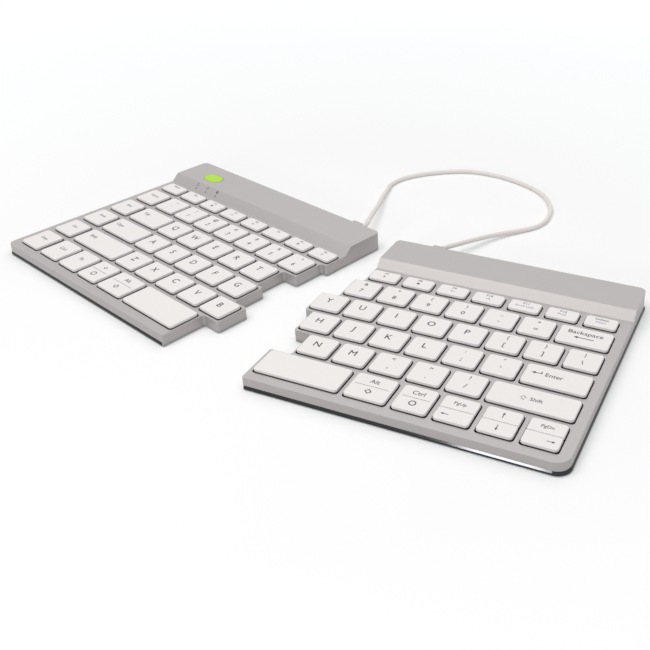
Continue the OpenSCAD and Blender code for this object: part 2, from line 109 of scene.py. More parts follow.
@dataclass(frozen=True)
class Sizes:
    """Driving sizes of the keyboard: the part's source has them too, apart from the leans of the walls."""

    key_pitch: float = 19 * MM
    side_gap: float = 0.154
    left_bottom_gap: float = 0.17
    right_bottom_gap: float = 0.18
    function_gap: float = 0.2
    side_column: float = -1.075
    cap_depth: float = 14.6 * MM
    bottom_depth: float = 17.1 * MM
    function_depth: float = 8.8 * MM
    bottom_row_gap: float = 4 * MM
    function_row_gap: float = 4.6 * MM
    half_key_gap: float = 0.7 * MM
    opening_margin: float = 0.65 * MM
    opening_corner: float = 1.6 * MM
    opening_bottom: float = 3.9 * MM
    deck_height: float = 7 * MM
    bar_height: float = 11.2 * MM
    cap_rise: float = 1.6 * MM
    wall: float = 1.6 * MM
    outer_margin: float = 6.4 * MM
    inner_margin: float = 1.5 * MM
    space_margin: float = 2.45 * MM
    front_margin: float = 6.4 * MM
    bar_margin: float = 4.2 * MM
    slope_depth: float = 4.6 * MM
    bar_depth: float = 23.4 * MM
    left_corner_radius: float = 4 * MM
    right_corner_radius: float = 7 * MM
    rear_radius: float = 3.5 * MM
    front_step_radius: float = 1 * MM
    step_radius: float = 1.2 * MM
    rear_step_radius: float = 2.5 * MM
    front_lean: float = 0.4 * MM
    left_side_lean: float = 0.35 * MM
    right_side_lean: float = 0.95 * MM
    seam_lean: float = 0.6
    strip_end_inset: float = 1 * MM
    foot_height: float = 0.5 * MM
    plate_height: float = 1.2 * MM
    polished_edge: float = 2.1 * MM
    boot_height: float = 7 * MM
    boot_radius: float = 1.9 * MM
    boot_length: float = 6 * MM

    @property
    def base_top(self) -> float:
        """Upper side of the base plate."""
        return self.foot_height + self.plate_height

    @property
    def strip_top(self) -> float:
        """Upper edge of the polished strip."""
        return self.foot_height + self.polished_edge

    @property
    def cap_top(self) -> float:
        """Height of the key tops at rest."""
        return self.deck_height + self.cap_rise

    @property
    def bottom_front(self) -> float:
        """Front edge of the bottom row."""
        return -self.bottom_depth - self.bottom_row_gap

    @property
    def function_front(self) -> float:
        """Front edge of the function row."""
        return 3 * self.key_pitch + self.cap_depth + self.function_row_gap

    @property
    def front_edge(self) -> float:
        """Front edge of a half."""
        return self.bottom_front - self.front_margin

    @property
    def slope_foot(self) -> float:
        """Where the deck meets the slope of the rear bar."""
        return self.function_front + self.function_depth + self.bar_margin

    @property
    def slope_top(self) -> float:
        """Where the slope meets the flat top of the rear bar."""
        return self.slope_foot + self.slope_depth

    @property
    def back_edge(self) -> float:
        """Rear edge of a half."""
        return self.slope_top + self.bar_depth

    @property
    def bar_middle(self) -> float:
        """Middle of the rear bar's flat top."""
        return self.slope_top + self.bar_depth / 2


@dataclass(frozen=True)
class Row:
    """One row of keys."""

    start: float  # left edge of the first key, in pitches
    gap: float  # share of a pitch that is left free beside a key
    front: float
    depth: float
    widths: tuple[float, ...]  # key widths in pitches, with their gaps


@dataclass(frozen=True)
class KeyPlace:
    """The top face of a key in its half's layout frame."""

    left: float
    front: float
    width: float
    depth: float
    partner: int = 0  # direction along y to the other key of a half height pair, or 0

    @property
    def right(self) -> float:
        """Right edge."""
        return self.left + self.width

    @property
    def middle(self) -> Point:
        """Middle of the top face."""
        return self.left + self.width / 2, self.front + self.depth / 2

    def corners(self, grow: float, facing: float | None = None) -> list[Point]:
        """Corners of the face, moved outwards.

        Args:
            grow: Distance by which each edge moves outwards.
            facing: The same for the edge that faces a partner key, where it differs.

        Returns:
            The four corners, anticlockwise from the front left one.
        """
        facing = grow if facing is None else facing
        low_x, high_x = self.left - grow, self.right + grow
        low_y = self.front - (facing if self.partner < 0 else grow)
        high_y = self.front + self.depth + (facing if self.partner > 0 else grow)
        return [(low_x, low_y), (high_x, low_y), (high_x, high_y), (low_x, high_y)]

    def radii(self, corner: float, partner_corner: float) -> list[float]:
        """Radii of the four corners, which are smaller beside a partner key."""
        front = partner_corner if self.partner < 0 else corner
        back = partner_corner if self.partner > 0 else corner
        return [front, front, back, back]


@dataclass(frozen=True)
class HalfLayout:
    """One half of the keyboard: its rows of keys, its outline and its place on the table."""

    side: Side
    sizes: Sizes
    rows: tuple[Row, ...]  # rows from the bottom row to the function row
    place: Point  # where the layout frame lies on the table
    turn: float  # turn of the layout frame, in degrees

    @classmethod
    def left(cls, sizes: Sizes) -> "HalfLayout":
        """The left half, with one more column of keys at its outer side.

        Args:
            sizes: The keyboard's driving sizes.

        Returns:
            The layout of the left half.
        """
        pitch, depth, gap = sizes.key_pitch, sizes.cap_depth, sizes.side_gap
        bottom, functions = (*[1.02] * 3, 1.25, 2.37), (1.04,) * 8
        function_place = (sizes.function_gap, sizes.function_front, sizes.function_depth)
        rows = (
            Row(0, sizes.left_bottom_gap, sizes.bottom_front, sizes.bottom_depth, bottom),
            Row(0, gap, 0, depth, (2.25, *[1] * 5)),
            Row(0, gap, pitch, depth, (1.75, *[1] * 5)),
            Row(0, gap, 2 * pitch, depth, (1.5, *[1] * 5)),
            Row(0, gap, 3 * pitch, depth, (1,) * 7),
            Row(sizes.side_column, *function_place, functions),
        )
        return cls(Side.LEFT, sizes, rows, (-143.6 * MM, -21.7 * MM), -17.4)

    @classmethod
    def right(cls, sizes: Sizes) -> "HalfLayout":
        """The right half, with half height arrow keys at the end of its bottom row.

        Args:
            sizes: The keyboard's driving sizes.

        Returns:
            The layout of the right half.
        """
        pitch, depth, gap = sizes.key_pitch, sizes.cap_depth, sizes.side_gap
        bottom = (2.45, 1.23, *[1.03] * 4)
        rows = (
            Row(6.7, sizes.right_bottom_gap, sizes.bottom_front, sizes.bottom_depth, bottom),
            Row(7.25, gap, 0, depth, (*[1] * 5, 2.25)),
            Row(6.75, gap, pitch, depth, (*[1] * 6, 1.75)),
            Row(6.5, gap, 2 * pitch, depth, (1,) * 8),
            Row(7, gap, 3 * pitch, depth, (*[1] * 6, 1.5)),
            Row(7.27, sizes.function_gap, sizes.function_front, sizes.function_depth, (1.033,) * 7),
        )
        return cls(Side.RIGHT, sizes, rows, (-102.2 * MM, -71.8 * MM), 0)

    @property
    def body(self) -> str:
        """The part's body that carries this half."""
        return f"{self.side.value}_half"

    @property
    def inward(self) -> int:
        """Direction along x from the outer edge to the stepped edge."""
        return 1 if self.side is Side.LEFT else -1

    @property
    def matrix(self) -> Matrix:
        """From the layout frame to the part's frame."""
        return Matrix.Translation((*self.place, 0)) @ Matrix.Rotation(math.radians(self.turn), 4, "Z")

    @property
    def outer(self) -> float:
        """The outer edge."""
        if self.side is Side.LEFT:
            return self.sizes.side_column * self.sizes.key_pitch - self.sizes.outer_margin
        return max(self.row_keys(row)[-1].right for row in range(len(self.rows))) + self.sizes.outer_margin

    @property
    def corner_radius(self) -> float:
        """Radius of the outer front corner."""
        return self.sizes.left_corner_radius if self.side is Side.LEFT else self.sizes.right_corner_radius

    @property
    def side_lean(self) -> float:
        """How far the outer wall leans inwards from its foot to the deck."""
        return self.sizes.left_side_lean if self.side is Side.LEFT else self.sizes.right_side_lean

    @property
    def last_row(self) -> int:
        """Number of the function row."""
        return len(self.rows) - 1

    def key(self, row: int, column: int) -> KeyPlace:
        """A key of a row.

        Args:
            row: Row number from the front.
            column: Key number from the left.

        Returns:
            Where its top face lies.
        """
        line = self.rows[row]
        pitch = self.sizes.key_pitch
        left = (line.start + sum(line.widths[:column])) * pitch
        return KeyPlace(left, line.front, (line.widths[column] - line.gap) * pitch, line.depth)

    def side_key(self, row: int) -> KeyPlace:
        """The key of the outer column beside a row of the left half."""
        line, sizes = self.rows[row], self.sizes
        width = (1 - sizes.side_gap) * sizes.key_pitch
        return KeyPlace(sizes.side_column * sizes.key_pitch, line.front, width, line.depth)

    def half_key(self, column: int, upper: bool) -> KeyPlace:
        """One of the two half height keys in a column of the bottom row."""
        whole = self.key(0, column)
        depth = (whole.depth - self.sizes.half_key_gap) / 2
        front = whole.front + (depth + self.sizes.half_key_gap if upper else 0)
        return KeyPlace(whole.left, front, whole.width, depth, -1 if upper else 1)

    def row_keys(self, row: int) -> list[KeyPlace]:
        """All keys of a row, from the left."""
        return [self.key(row, column) for column in range(len(self.rows[row].widths))]

    def openings(self) -> list[KeyPlace]:
        """Every opening of the deck: one for each key, and one for each pair of half height keys."""
        found = [place for row in range(len(self.rows)) for place in self.row_keys(row)]
        if self.side is Side.LEFT:
            found += [self.side_key(row) for row in range(self.last_row)]
        return found

    def step_edge(self, row: int) -> float:
        """The stepped inner edge beside a row."""
        keys = self.row_keys(row)
        if self.side is Side.LEFT:
            return keys[-1].right + self.sizes.inner_margin
        return keys[0].left - (self.sizes.space_margin if row == 0 else self.sizes.inner_margin)

    def from_outer(self, inset: float) -> float:
        """A place counted inwards from the outer edge."""
        return self.outer + self.inward * inset

    def from_step(self, row: int, inset: float) -> float:
        """A place counted inwards from the stepped edge of a row."""
        return self.step_edge(row) - self.inward * inset

    def border(self, row: int, inset: float) -> float:
        """The border below a row, moved into the half by an inset.

        Args:
            row: Row number from the front; one past the last row is the rear edge.
            inset: Distance into the half's body.

        Returns:
            The border's y.
        """
        if row == 0:
            return self.sizes.front_edge + inset
        if row > self.last_row:
            return self.sizes.back_edge - inset
        below, above = self.rows[row - 1], self.rows[row]
        middle = (below.front + below.depth + above.front) / 2
        steps_out = self.inward * (self.step_edge(row) - self.step_edge(row - 1)) > 0
        return middle + (inset if steps_out else -inset)

    def outline(self, inset: float, lean: float = 0.0) -> list[Point]:
        """The half's rounded outline.

        Args:
            inset: Distance by which it is moved inwards.
            lean: Share of the front and outer walls' lean at the outline's height.

        Returns:
            Points of the closed outline.
        """
        sizes = self.sizes
        outer = self.from_outer(inset + lean * self.side_lean)
        front = self.border(0, inset + lean * sizes.front_lean)
        edges = [self.from_step(row, inset) for row in range(len(self.rows))]
        borders = [front, *[self.border(row + 1, inset) for row in range(len(self.rows))]]
        points = [(outer, front)]
        for row, edge in enumerate(edges):
            points += [(edge, borders[row]), (edge, borders[row + 1])]
        points.append((outer, borders[-1]))
        steps = [sizes.step_radius] * (2 * self.last_row)
        inner = [sizes.front_step_radius, *steps, sizes.rear_step_radius]
        return rounded(points, [self.corner_radius - inset, *inner, sizes.rear_radius - inset])


def rounded(points: Sequence[Point], radii: Sequence[float], steps: int = 7) -> list[Point]:
    """Rounds the right-angled corners of an outline.

    Args:
        points: Corners in order.
        radii: One radius for each corner.
        steps: Straight pieces in each quarter turn.

    Returns:
        The points of the rounded outline.
    """
    result: list[Point] = []
    for index, corner in enumerate(points):
        here = Vector(corner)
        back = (Vector(points[index - 1]) - here).normalized()
        ahead = (Vector(points[(index + 1) % len(points)]) - here).normalized()
        centre = here + (back + ahead) * radii[index]
        for step in range(steps + 1):
            angle = math.pi / 2 * step / steps
            point = centre - radii[index] * (ahead * math.cos(angle) + back * math.sin(angle))
            result.append((point.x, point.y))
    return result


def circle(centre: Point, radius: float, sides: int = 24) -> list[Point]:
    """Points of a circle, anticlockwise."""
    turns = [2 * math.pi * k / sides for k in range(sides)]
    return [(centre[0] + radius * math.cos(turn), centre[1] + radius * math.sin(turn)) for turn in turns]


# Mesh building


class Solid:
    """A mesh under construction in a layout frame."""

    SHARP = math.radians(32)

    def __init__(self) -> None:
        """Starts with no faces."""
        self.mesh = bmesh.new()

    def loft(self, rings: Sequence[Sequence[Vector]], finish: int = 0) -> "Solid":
        """Adds a closed skin over a stack of rings with the same number of points.

        Args:
            rings: Rings in order; the first and the last are closed with a flat face.
            finish: Which of the piece's finishes the skin takes.

        Returns:
            This solid.
        """
        placed = [[self.mesh.verts.new(point) for point in ring] for ring in rings]
        outlines = [list(reversed(placed[0])), placed[-1]]
        for lower, upper in zip(placed, placed[1:]):
            outlines += [[lower[k - 1], lower[k], upper[k], upper[k - 1]] for k in range(len(lower))]
        for outline in outlines:
            self.mesh.faces.new(outline).material_index = finish
        return self

    def prism(self, outline: Sequence[Point], bottom: float, top: float, finish: int = 0) -> "Solid":
        """Adds an upright prism."""
        return self.loft([[Vector((x, y, z)) for x, y in outline] for z in (bottom, top)], finish)

    def bar(self, start: float, length: float, profile: Sequence[Point]) -> "Solid":
        """Adds a prism along x with the given outline in y and z."""
        return self.loft([[Vector((x, y, z)) for y, z in profile] for x in (start, start + length)])

    def box(self, low: Sequence[float], high: Sequence[float], finish: int = 0) -> "Solid":
        """Adds a box between two corners."""
        outline = [(low[0], low[1]), (high[0], low[1]), (high[0], high[1]), (low[0], high[1])]
        return self.prism(outline, low[2], high[2], finish)

    def lathe(self, profile: Sequence[Point], place: Matrix, sides: int = 32) -> "Solid":
        """Adds a turned body.

        Args:
            profile: Radius and height of each ring, from one end to the other.
            place: From the turning frame, whose axis is z, to the layout frame.
            sides: Points in each ring.

        Returns:
            This solid.
        """
        rings = [
            [place @ Vector((x, y, height)) for x, y in circle((0, 0), radius, sides)]
            for radius, height in profile
        ]
        return self.loft(rings)

    def outward(self) -> "Solid":
        """Turns every face of the closed skins outwards."""
        bmesh.ops.recalc_face_normals(self.mesh, faces=self.mesh.faces[:])
        return self

    def combined(self, other: "Solid", operation: Operation) -> "Solid":
        """Cuts another solid from this one or joins it on.

        Args:
            other: The tool, which is used up.
            operation: What to do with it.

        Returns:
            This solid.
        """
        holders = [scratch_object(solid.outward().mesh) for solid in (self, other)]
        modifier = holders[0].modifiers.new("combine", "BOOLEAN")
        modifier.object = holders[1]
        modifier.operation = operation.value
        modifier.solver = "EXACT"
        result = evaluated_mesh(holders[0])
        self.mesh.clear()
        self.mesh.from_mesh(result)
        bpy.data.meshes.remove(result)
        for holder in holders:
            remove_object(holder)
        other.mesh.free()
        bmesh.ops.remove_doubles(self.mesh, verts=self.mesh.verts[:], dist=1e-7)
        bmesh.ops.dissolve_degenerate(self.mesh, edges=self.mesh.edges[:], dist=1e-7)
        return self

    def bevelled(self, width: float, segments: int, chosen: Callable[[bmesh.types.BMEdge], bool]) -> "Solid":
        """Rounds the sharp edges that a test picks.

        Args:
            width: Width of the rounding.
            segments: Faces across it.
            chosen: Test for an edge.

        Returns:
            This solid.
        """
        edges = [
            edge for edge in self.mesh.edges
            if edge.is_manifold and edge.calc_face_angle() > self.SHARP and chosen(edge)
        ]
        bmesh.ops.bevel(
            self.mesh, geom=edges, offset=width, offset_type="OFFSET", segments=segments, profile=0.5,
            affect="EDGES", clamp_overlap=True,
        )
        return self

    def placed(self, matrix: Matrix) -> "Solid":
        """Moves everything by a matrix."""
        bmesh.ops.transform(self.mesh, matrix=matrix, verts=self.mesh.verts[:])
        return self

    def piece(self, name: str, finishes: Sequence[bpy.types.Material]) -> bpy.types.Object:
        """Makes the finished object, with round stretches smooth and flat ones flat.

        Args:
            name: The piece's name.
            finishes: Materials, in the order that the faces count them.

        Returns:
            The new object.
        """
        for face in self.mesh.faces:
            face.smooth = True
        holder = scratch_object(self.mesh)
        holder.data.set_sharp_from_angle(angle=self.SHARP)
        weighted = holder.modifiers.new("even", "WEIGHTED_NORMAL")
        weighted.keep_sharp = True
        mesh = evaluated_mesh(holder)
        remove_object(holder)
        self.mesh.free()
        mesh.name = name
        for finish in finishes:
            mesh.materials.append(finish)
        made = bpy.data.objects.new(name, mesh)
        bpy.context.scene.collection.objects.link(made)
        return made


def scratch_object(mesh: bmesh.types.BMesh) -> bpy.types.Object:
    """A passing object with a copy of a mesh, for a modifier to work on."""
    data = bpy.data.meshes.new("scratch")
    mesh.to_mesh(data)
    holder = bpy.data.objects.new("scratch", data)
    bpy.context.scene.collection.objects.link(holder)
    return holder


def evaluated_mesh(holder: bpy.types.Object) -> bpy.types.Mesh:
    """A new mesh with an object's modifiers applied."""
    graph = bpy.context.evaluated_depsgraph_get()
    return bpy.data.meshes.new_from_object(holder.evaluated_get(graph), depsgraph=graph)


def remove_object(holder: bpy.types.Object) -> None:
    """Deletes a passing object and its data."""
    data = holder.data
    bpy.data.objects.remove(holder)
    if isinstance(data, bpy.types.Mesh):
        bpy.data.meshes.remove(data)
    else:
        bpy.data.curves.remove(data)


# Shader trees


class Signal:
    """A value in a shader tree; an expression on signals adds its Math nodes."""

    def __init__(self, tree: "ShaderTree", socket: bpy.types.NodeSocket) -> None:
        """Wraps an output socket of a tree."""
        self.tree = tree
        self.socket = socket

    def _math(self, operation: str, first: Any, second: Any) -> "Signal":
        """Adds one Math node."""
        return self.tree.node("ShaderNodeMath", {"operation": operation}, {0: first, 1: second})

    def __add__(self, other: Any) -> "Signal":
        """Sum."""
        return self._math("ADD", self, other)

    def __radd__(self, other: Any) -> "Signal":
        """Sum with a number in front."""
        return self._math("ADD", other, self)

    def __sub__(self, other: Any) -> "Signal":
        """Difference."""
        return self._math("SUBTRACT", self, other)

    def __rsub__(self, other: Any) -> "Signal":
        """Difference with a number in front."""
        return self._math("SUBTRACT", other, self)

    def __mul__(self, other: Any) -> "Signal":
        """Product."""
        return self._math("MULTIPLY", self, other)

    def __rmul__(self, other: Any) -> "Signal":
        """Product with a number in front."""
        return self._math("MULTIPLY", other, self)


class ShaderTree:
    """A material's or the world's nodes."""

    def __init__(self, tree: bpy.types.NodeTree) -> None:
        """Starts from an empty tree."""
        self.tree = tree
        tree.nodes.clear()

    def node(
        self,
        kind: str,
        settings: dict[str, Any] | None = None,
        sockets: dict[str | int, Any] | None = None,
        output: str | int = 0,
    ) -> Signal:
        """Adds a node.

        Args:
            kind: The node's type.
            settings: Its own settings, which are set first; "stops" are a ramp's places and colours.
            sockets: Values or signals for its inputs.
            output: Which output to hand back.

        Returns:
            The chosen output.
        """
        made = self.tree.nodes.new(kind)
        for name, value in (settings or {}).items():
            if name == "stops":
                self._set_stops(made.color_ramp, value)
            else:
                setattr(made, name, value)
        for name, value in (sockets or {}).items():
            if isinstance(value, Signal):
                self.tree.links.new(value.socket, made.inputs[name])
            else:
                made.inputs[name].default_value = value
        return Signal(self, made.outputs[output])

    @staticmethod
    def _set_stops(ramp: bpy.types.ColorRamp, stops: Sequence[tuple[float, Colour]]) -> None:
        """Gives a ramp its stops."""
        while len(ramp.elements) < len(stops):
            ramp.elements.new(1)
        for element, (position, colour) in zip(ramp.elements, stops):
            element.position = position
            element.color = (*colour, 1)

    def noise(self, size: float, detail: float = 2) -> Signal:
        """Noise from 0 to 1 in the object's own frame, with grains of about the given size."""
        place = self.node("ShaderNodeTexCoord", output="Object")
        sockets = {"Vector": place, "Scale": 1 / size, "Detail": detail}
        return self.node("ShaderNodeTexNoise", {}, sockets)

    def mixed(self, share: Any, first: Any, second: Any) -> Signal:
        """Blends two colours by a share."""
        sockets = {0: share, 6: first, 7: second}
        return self.node("ShaderNodeMix", {"data_type": "RGBA"}, sockets, output=2)

    def bumped(self, height: Signal, depth: float) -> Signal:
        """A normal for a surface with a little relief."""
        return self.node("ShaderNodeBump", {}, {"Height": height, "Distance": depth, "Strength": 0.5})

    def principled(self, **sockets: Any) -> Signal:
        """The surface shader; underscores stand for spaces in socket names."""
        named = {name.replace("_", " "): value for name, value in sockets.items()}
        return self.node("ShaderNodeBsdfPrincipled", {}, named)

    def surface(self, shader: Signal, kind: str = "ShaderNodeOutputMaterial") -> None:
        """Connects the tree's output."""
        made = self.tree.nodes.new(kind)
        self.tree.links.new(shader.socket, made.inputs["Surface"])


def shaded(colour: Colour, factor: float) -> tuple[float, float, float, float]:
    """A colour made lighter or darker, for a socket."""
    return (*[min(1.0, part * factor) for part in colour], 1)


def blank_material(name: str) -> tuple[bpy.types.Material, ShaderTree]:
    """A new material with its empty tree."""
    made = bpy.data.materials.new(name)
    made.use_nodes = True
    return made, ShaderTree(made.node_tree)


# Finishes


@dataclass(frozen=True)
class GrainedFinish:
    """A moulded or painted surface with a fine grain."""

    name: str
    colour: Colour
    variation: float = 0.03  # how far the grain makes the colour lighter and darker
    grain: float = 0.25 * MM
    cloud: float = 60  # size of the softer clouds, in grains
    cloud_share: float = 0.3  # share of the clouds in the colour's change
    relief: float = 0.01 * MM  # depth of the grains
    roughness: float = 0.45  # lowest roughness
    roughness_range: float = 0.1  # how much the grain adds to it
    metallic: float = 0.0

    def material(self) -> bpy.types.Material:
        """Makes the material."""
        made, tree = blank_material(self.name)
        grain = tree.noise(self.grain)
        cloud = tree.noise(self.cloud * self.grain, 3)
        share = (1 - self.cloud_share) * grain + self.cloud_share * cloud
        dark, light = shaded(self.colour, 1 - self.variation), shaded(self.colour, 1 + self.variation)
        shader = tree.principled(
            Base_Color=tree.mixed(share, dark, light),
            Roughness=self.roughness + self.roughness_range * grain,
            Metallic=self.metallic,
            Normal=tree.bumped(grain, self.relief),
        )
        tree.surface(shader)
        return made


@dataclass(frozen=True)
class BrushedFinish:
    """Sheet metal with fine lines along x."""

    name: str
    colour: Colour
    line: float = 0.1 * MM
    stretch: float = 0.05  # size across a line, as a share of the size along it
    shades: Pair = (0.9, 1.08)  # factors of the colour in the darkest and the lightest lines
    roughness: float = 0.28  # lowest roughness
    roughness_range: float = 0.16  # how much the lines add to it
    relief: float = 0.01 * MM

    def material(self) -> bpy.types.Material:
        """Makes the material."""
        made, tree = blank_material(self.name)
        place = tree.node("ShaderNodeTexCoord", output="Object")
        scale = (self.stretch / self.line, 1 / self.line, 1 / self.line)
        stretched = tree.node("ShaderNodeMapping", {}, {"Vector": place, "Scale": scale})
        lines = tree.node("ShaderNodeTexNoise", {}, {"Vector": stretched, "Scale": 1, "Detail": 2})
        shader = tree.principled(
            Base_Color=tree.mixed(lines, *[shaded(self.colour, shade) for shade in self.shades]),
            Roughness=self.roughness + self.roughness_range * lines,
            Metallic=1.0,
            Normal=tree.bumped(lines, self.relief),
        )
        tree.surface(shader)
        return made


@dataclass(frozen=True)
class BoardFinish:
    """Green solder mask with copper tracks below it."""

    name: str
    mask: Colour = (0.03, 0.16, 0.06)  # colour over bare board
    track: Colour = (0.06, 0.27, 0.1)  # colour over copper
    pitch: float = 1.2 * MM  # distance between tracks
    track_width: float = 0.08  # in pitches
    roughness: float = 0.3  # lowest roughness
    roughness_range: float = 0.1  # how much the tracks add to it
    relief: float = 0.02 * MM

    def material(self) -> bpy.types.Material:
        """Makes the material."""
        made, tree = blank_material(self.name)
        place = tree.node("ShaderNodeTexCoord", output="Object")
        sockets = {"Vector": place, "Scale": 1 / self.pitch, "Mortar Size": self.track_width}
        tracks = tree.node("ShaderNodeTexBrick", {}, sockets, output="Fac")
        colour = tree.mixed(tracks, (*self.mask, 1), (*self.track, 1))
        shader = tree.principled(
            Base_Color=colour,
            Roughness=self.roughness + self.roughness_range * tracks,
            Normal=tree.bumped(tracks, self.relief),
        )
        tree.surface(shader)
        return made


class Finishes:
    """Every material of the keyboard, made once."""

    def __init__(self) -> None:
        """Makes the materials."""
        self.case = GrainedFinish(
            "silver_lacquer", (0.45, 0.433, 0.431), variation=0.035, grain=0.3 * MM, roughness=0.31,
            metallic=0.25,
        ).material()
        self.base = GrainedFinish(
            "base_grey", (0.36, 0.355, 0.35), grain=0.3 * MM, roughness=0.45
        ).material()
        self.polished = GrainedFinish(
            "polished_strip", (0.045, 0.045, 0.047), grain=2 * MM, relief=0.0, roughness=0.08,
            roughness_range=0.05, metallic=1.0,
        ).material()
        self.cap = GrainedFinish(
            "key_plastic", (0.86, 0.845, 0.842), variation=0.012, grain=0.16 * MM, roughness=0.46
        ).material()
        self.ink = GrainedFinish(
            "key_ink", (0.04, 0.04, 0.042), variation=0.1, grain=0.12 * MM, relief=0.0, roughness=0.5
        ).material()
        self.blue_ink = GrainedFinish(
            "blue_ink", (0.2, 0.2, 0.42), variation=0.1, grain=0.12 * MM, relief=0.0, roughness=0.5
        ).material()
        self.cord = GrainedFinish(
            "cord_jacket", (0.8, 0.77, 0.745), variation=0.02, grain=0.4 * MM, roughness=0.42
        ).material()
        self.foot = GrainedFinish("foot_rubber", (0.02, 0.02, 0.02), variation=0.2, roughness=0.75).material()
        # painted shade: the domes, their sheet and the links are near black so that the gaps round the keys
        # look deep in shade
        self.dome = GrainedFinish("dome_rubber", (0.025, 0.025, 0.026), roughness=0.6).material()
        self.link = GrainedFinish("link_plastic", (0.03, 0.03, 0.03), roughness=0.5).material()
        # painted shade: the key skirts are dark grey so that the gaps round the keys look shaded; the status
        # marks use the same grey as ink
        self.skirt = GrainedFinish("skirt_shade_and_mark_ink", (0.18, 0.18, 0.182), roughness=0.5).material()
        self.battery = GrainedFinish(
            "battery_foil", (0.4, 0.41, 0.43), variation=0.08, grain=1.5 * MM, relief=0.05 * MM,
            roughness=0.3, metallic=0.8,
        ).material()
        self.switch = GrainedFinish("switch_plastic", (0.03, 0.03, 0.032), variation=0.1).material()
        self.lens = GrainedFinish(
            "green_lens", (0.42, 0.74, 0.0), variation=0.06, grain=3 * MM, relief=0.0, roughness=0.35
        ).material()
        self.steel = BrushedFinish("plain_steel", (0.55, 0.555, 0.57)).material()
        # painted shade: the key plate is dark for the same shade in the gaps round the keys
        self.plate = BrushedFinish("steel_dark_as_gap_shade", (0.06, 0.06, 0.062), roughness=0.45).material()
        self.board = BoardFinish("board_mask").material()


# Printed signs


@dataclass(frozen=True)
class Print:
    """One printed mark on a key."""

    mark: str | Sign  # a word or a drawn sign
    height: float  # height of its capitals, or of the sign
    x: float = 0.0  # place from the key's middle, to the right
    y: float = 0.0  # place from the key's middle, to the back
    width: float = 0.0  # width of a dividing line, or length of an arrow that isn't the usual one
    second: bool = False  # whether it is a second meaning, printed in blue


